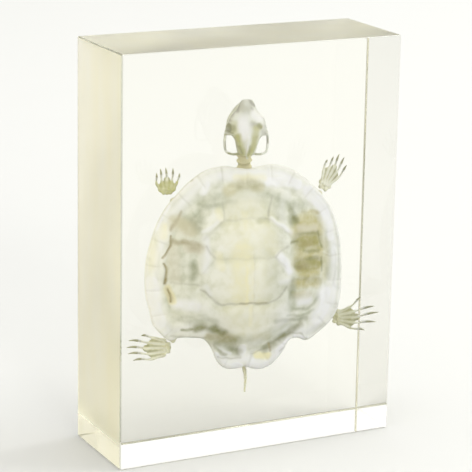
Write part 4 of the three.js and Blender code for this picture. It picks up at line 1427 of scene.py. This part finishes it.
def paw_mesh(name, paw, material):
    """Wrist bones, a thin palm and five rays of bones that end in claws."""
    wrist = np.array(paw["wrist"], float)
    knuckles = np.array(paw["knuckles"], float)
    tips = np.array(paw["tips"], float)
    ahead = knuckles - wrist
    aside = np.array([ahead[1], -ahead[0], 0]) / np.hypot(ahead[0], ahead[1])
    if (tips[-1] - tips[0]) @ aside < 0:
        aside = -aside
    across = aside * paw["half_width"]
    curl = aside * paw["curl"]
    rays, claws = [], []
    for share, tip in zip(np.linspace(-1, 1, len(tips)), tips):
        base = wrist + RAY_START * ahead + across * share * RAY_SPREAD * paw["heel"]
        knuckle = knuckles + across * share * KNUCKLE_SPREAD - ahead * KNUCKLE_BOW * share ** 2
        bend = knuckle + BEND_PLACE * (tip - knuckle) + BEND_CURL * curl + BEND_RISE
        rays.append([base, knuckle, bend])
        claws.append([bend, (bend + tip) / 2 + CLAW_CURL * curl + CLAW_RISE, tip])
    heel = paw["half_width"] * paw["heel"]
    palm = {"root": heel, "tip": paw["half_width"], "waist": 0.0, "flatness": 0.1, "knob": (0.3, 0.1, 0.3)}
    shapes = [
        chain(rays, material, bones=2, root=0.7, tip=0.42, waist=0.3, flatness=0.85, knob=(1, 0.8, 1)),
        chain(claws, material, root=0.5, tip=0.16, waist=-0.2, knob=(0.8, 0.8, 0.8)),
        chain([[wrist, knuckles]], material, **palm),
    ]
    heading = math.atan2(ahead[1], ahead[0])
    for row, count, spread in WRIST_ROWS:
        for share in np.linspace(-1, 1, count):
            shapes.append(ellipsoid(wrist + row * ahead + across * share * spread, WRIST_LUMP, heading))
    mesh = fused(name, shapes, voxel=FINEST_VOXEL, smoothing=2)

    places = vertex_places(mesh)
    reach = (places - wrist) @ ahead / (ahead @ ahead)
    claw_gap, ray_gap = [
        np.min([path_gap(places[:, :2], np.array(path)[:, :2]) for path in paths], axis=0)
        for paths in (claws, rays)
    ]
    web = smooth_step(ray_gap, *WEB_GAP) * smooth_step(reach, *WEB_START)
    keep_marks(mesh, "marks", [
        CLAW_TONE * (1 - smooth_step(claw_gap, *CLAW_GAP)),
        RAY_TONE * (1 - smooth_step(ray_gap, *RAY_GAP)),
        np.maximum(HEEL_TONE * (1 - smooth_step(reach, *HEEL_END)), WEB_TONE * web),
        paw["stain"] * (1 - smooth_step(reach, *STAIN_END)),
    ])
    return mesh


def face_shares(normal):
    """How strongly a face of the block takes the painted edge shade and how satin it is, by the way it
    faces.
    """
    if normal.x < -FLAT_FACE:
        return 0.0, LEFT_SATIN
    if normal.z > FLAT_FACE:
        return 0.0, TOP_SATIN
    if max(abs(axis) for axis in normal) > FLAT_FACE:
        return 0.0, 0.0
    if normal.y > SIDE_FACE:
        return BACK_EDGE_SHADE, 0.0
    if normal.x < -SIDE_FACE:
        return LEFT_EDGE_SHADE, 0.0
    return OTHER_EDGE_SHADE, 0.0


class OBJECT_OT_clear_block(bpy.types.Operator):
    """Cast the clear block with softened edges, in place of its two halves"""

    bl_idname = "cast_turtle.clear_block"
    bl_label = "Clear Block"

    def execute(self, context):
        settings = context.scene.cast_resin
        halves = ("acrylic_block_front", "acrylic_block_back")
        corners = [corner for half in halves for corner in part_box(half)]
        low = Vector([min(c[i] for c in corners) for i in range(3)])
        high = Vector([max(c[i] for c in corners) for i in range(3)])
        shape = bmesh.new()
        place = Matrix.Translation((low + high) / 2) @ Matrix.Diagonal((*(high - low), 1))
        bmesh.ops.create_cube(shape, size=1, matrix=place)
        bmesh.ops.bevel(
            shape, geom=shape.edges[:], offset=settings.edge_round, offset_type="OFFSET",
            segments=BEVEL_STEPS, profile=0.5, affect="EDGES",
        )
        mesh = bpy.data.meshes.new("clear_block")
        shape.to_mesh(mesh)
        shape.free()
        shares = [face_shares(face.normal) for face in mesh.polygons]
        for name, values in zip(("edge", "satin"), zip(*shares)):
            mesh.attributes.new(name, "FLOAT", "FACE").data.foreach_set("value", values)
        block = set_piece("clear_block", mesh, resin_material(settings), "clear_resin", *halves)
        finish = block.modifiers.new("Flat faces", "WEIGHTED_NORMAL")
        finish.keep_sharp = True
        return {"FINISHED"}


class OBJECT_OT_shell(bpy.types.Operator):
    """Model the carapace with its furrows, ring and windows, and the plastron"""

    bl_idname = "cast_turtle.shell"
    bl_label = "Shell"

    def execute(self, context):
        settings = context.scene.cast_shell
        material = shell_material(settings)
        set_bone("carapace_bone", carapace_mesh(settings), material, "bone", "carapace")
        set_bone("plastron_bone", plastron_mesh(settings), material, "bone", "plastron")
        return {"FINISHED"}


class OBJECT_OT_head(bpy.types.Operator):
    """Model the skull with its eye sockets, arches and crest, and the lower jaw"""

    bl_idname = "cast_turtle.head"
    bl_label = "Head"

    def execute(self, context):
        material = stock_bone("pale_bone", context.scene.cast_bone)
        set_bone("skull_bone", skull_mesh(material), material, "bone", "skull")
        shape = chain([JAW], material, bones=2, root=0.85, tip=0.85, waist=0.0, flatness=1.2)
        jaw = fused("jaw_bone", [shape])
        jaw.transform(Matrix.Translation((HEAD_SHIFT, 0, 0)))
        set_bone("jaw_bone", plain_marks(jaw), material, "bone", "lower_jaw")
        return {"FINISHED"}


class OBJECT_OT_spine(bpy.types.Operator):
    """String the neck and tail bones along their paths"""

    bl_idname = "cast_turtle.spine"
    bl_label = "Neck and Tail"

    def execute(self, context):
        settings = context.scene.cast_bone
        for name, path, kind, slot, bones, root, tip, knob, stain in (
            ("neck", NECK, "neck_bone", "neck_bone", 6, 2.7, 3.0, (1.06, 0.66, 0.3), 0.6),
            ("tail", TAIL, "aged_bone", "yellow_bone", 8, 1.4, 0.45, (1.1, 0.9, 0.5), 0.1),
        ):
            material = stock_bone(kind, settings)
            shape = chain([path], material, bones, root, tip, waist=0.18, flatness=0.62, knob=knob)
            mesh = fused(name + "_bones", [shape], voxel=FINEST_VOXEL, smoothing=3)
            set_bone(name + "_bones", plain_marks(mesh, stain), material, slot, name)
        return {"FINISHED"}


class OBJECT_OT_limbs(bpy.types.Operator):
    """Model the girdles and the long bones of the legs"""

    bl_idname = "cast_turtle.limbs"
    bl_label = "Girdles and Limbs"

    def execute(self, context):
        settings = context.scene.cast_bone
        pale = stock_bone("pale_bone", settings)
        aged = stock_bone("aged_bone", settings)
        bones = []
        for side in ("left", "right"):
            shoulder, elbow, hip, knee = sided([SHOULDER, ELBOW, HIP, KNEE], side)
            bars = chain(
                [sided(bar, side) for bar in SHOULDER_BARS], pale, root=1.3, tip=1.1, knob=(1.1, 1.1, 1.1)
            )
            bones.append((side + "_shoulder_bone", bars, pale, "bone", side + "_shoulder_girdle"))
            for name, start, end, material, slot in (
                ("upper_arm", shoulder, elbow, pale, "bone"),
                ("forearm", elbow, WRISTS[side], aged, "yellow_bone"),
                ("thigh", hip, knee, pale, "bone"),
                ("shin", knee, ANKLES[side], aged, "yellow_bone"),
            ):
                start, end = np.array(start, float), np.array(end, float)
                inset = (end - start) * LIMB_INSET
                path = [start + inset, (start + end) / 2 + LIMB_BOW, end - inset]
                shape = chain([path], material, root=1.45, tip=1.3)
                bones.append((side + "_" + name + "_bone", shape, material, slot, side + "_" + name))
        bars = HIP_BARS + [mirrored(bar) for bar in HIP_BARS]
        pelvis = chain(bars, pale, root=1.5, tip=1.1, knob=(1.2, 1.2, 1.2))
        bones.append(("pelvis_bone", pelvis, pale, "bone", "pelvis"))
        for name, shape, material, slot, node in bones:
            set_bone(name, plain_marks(fused(name, [shape])), material, slot, node)
        return {"FINISHED"}


class OBJECT_OT_paws(bpy.types.Operator):
    """Model the hands and feet with their rays of bones and claws"""

    bl_idname = "cast_turtle.paws"
    bl_label = "Hands and Feet"

    def execute(self, context):
        material = stock_bone("aged_bone", context.scene.cast_bone)
        for name, paw in PAWS.items():
            mesh = paw_mesh(name + "_bones", paw, material)
            set_bone(name + "_bones", mesh, material, "yellow_bone", name)
        return {"FINISHED"}


class OBJECT_OT_stage(bpy.types.Operator):
    """Set the floor, the soft light and the camera"""

    bl_idname = "cast_turtle.stage"
    bl_label = "Stage"

    def execute(self, context):
        scene = context.scene
        settings = scene.cast_stage
        shape = bmesh.new()
        lowered = Matrix.Translation((0, 0, -FLOOR_DROP))
        bmesh.ops.create_circle(
            shape, cap_ends=True, segments=FLOOR_SIDES, radius=FLOOR_RADIUS, matrix=lowered
        )
        mesh = bpy.data.meshes.new("floor")
        shape.to_mesh(mesh)
        shape.free()
        mesh.materials.append(floor_material(settings))
        linked("floor", mesh)

        world = bpy.data.worlds.new("soft_white")
        world.use_nodes = True
        sky = world.node_tree.nodes["Background"]
        sky.inputs["Color"].default_value = WHITE
        sky.inputs["Strength"].default_value = settings.sky
        scene.world = world
        for name, (size, place) in LIGHTS.items():
            lamp = bpy.data.lights.new(name, "AREA")
            lamp.size = size
            lamp.energy = getattr(settings, name)
            light = linked(name, lamp)
            light.location = place
            light.rotation_euler = (-place).to_track_quat("-Z", "Y").to_euler()

        level = math.cos(settings.elevation)
        away = math.sin(settings.azimuth) * level, -math.cos(settings.azimuth) * level
        back = Vector((*away, math.sin(settings.elevation)))
        right = Vector((0, 0, 1)).cross(back).normalized()
        up = back.cross(right)
        turned = math.cos(settings.roll) * right + math.sin(settings.roll) * up
        raised = math.cos(settings.roll) * up - math.sin(settings.roll) * right
        lens = bpy.data.cameras.new("camera")
        lens.lens = settings.lens
        lens.sensor_width = SENSOR_WIDTH
        lens.clip_end = CAMERA_REACH
        camera = linked("camera", lens)
        axes = Matrix((turned, raised, back)).transposed().to_4x4()
        camera.matrix_world = Matrix.Translation(CAMERA_AIM * MM + back * settings.distance) @ axes
        scene.camera = camera
        scene.view_settings.view_transform = "Standard"
        scene.cycles.max_bounces = 24
        scene.cycles.glossy_bounces = 16
        scene.cycles.transmission_bounces = 20
        return {"FINISHED"}


class VIEW3D_PT_cast_turtle(bpy.types.Panel):
    """Lists the pieces and their settings"""

    bl_label = "Cast Skeleton"
    bl_space_type = "VIEW_3D"
    bl_region_type = "UI"
    bl_category = "Cast Skeleton"

    def draw(self, context):
        for operator in OPERATORS:
            self.layout.operator(operator.bl_idname)
        for group in SETTINGS:
            settings = getattr(context.scene, group)
            for name in settings.__annotations__:
                self.layout.prop(settings, name)


OPERATORS = (
    OBJECT_OT_clear_block, OBJECT_OT_shell, OBJECT_OT_head, OBJECT_OT_spine, OBJECT_OT_limbs,
    OBJECT_OT_paws, OBJECT_OT_stage,
)
SETTINGS = {
    "cast_resin": ResinSettings,
    "cast_shell": ShellSettings,
    "cast_bone": BoneSettings,
    "cast_stage": StageSettings,
}


def register():
    for group in SETTINGS.values():
        bpy.utils.register_class(group)
    for name, group in SETTINGS.items():
        setattr(bpy.types.Scene, name, bpy.props.PointerProperty(type=group))
    for operator in OPERATORS:
        bpy.utils.register_class(operator)
    bpy.utils.register_class(VIEW3D_PT_cast_turtle)


def unregister():
    bpy.utils.unregister_class(VIEW3D_PT_cast_turtle)
    for operator in reversed(OPERATORS):
        bpy.utils.unregister_class(operator)
    for name, group in SETTINGS.items():
        delattr(bpy.types.Scene, name)
        bpy.utils.unregister_class(group)


def main():
    register()
    bpy.ops.cast_turtle.stage()
    bpy.ops.cast_turtle.clear_block()
    bpy.ops.cast_turtle.shell()
    bpy.ops.cast_turtle.head()
    bpy.ops.cast_turtle.spine()
    bpy.ops.cast_turtle.limbs()
    bpy.ops.cast_turtle.paws()


if __name__ == "__main__":
    main()
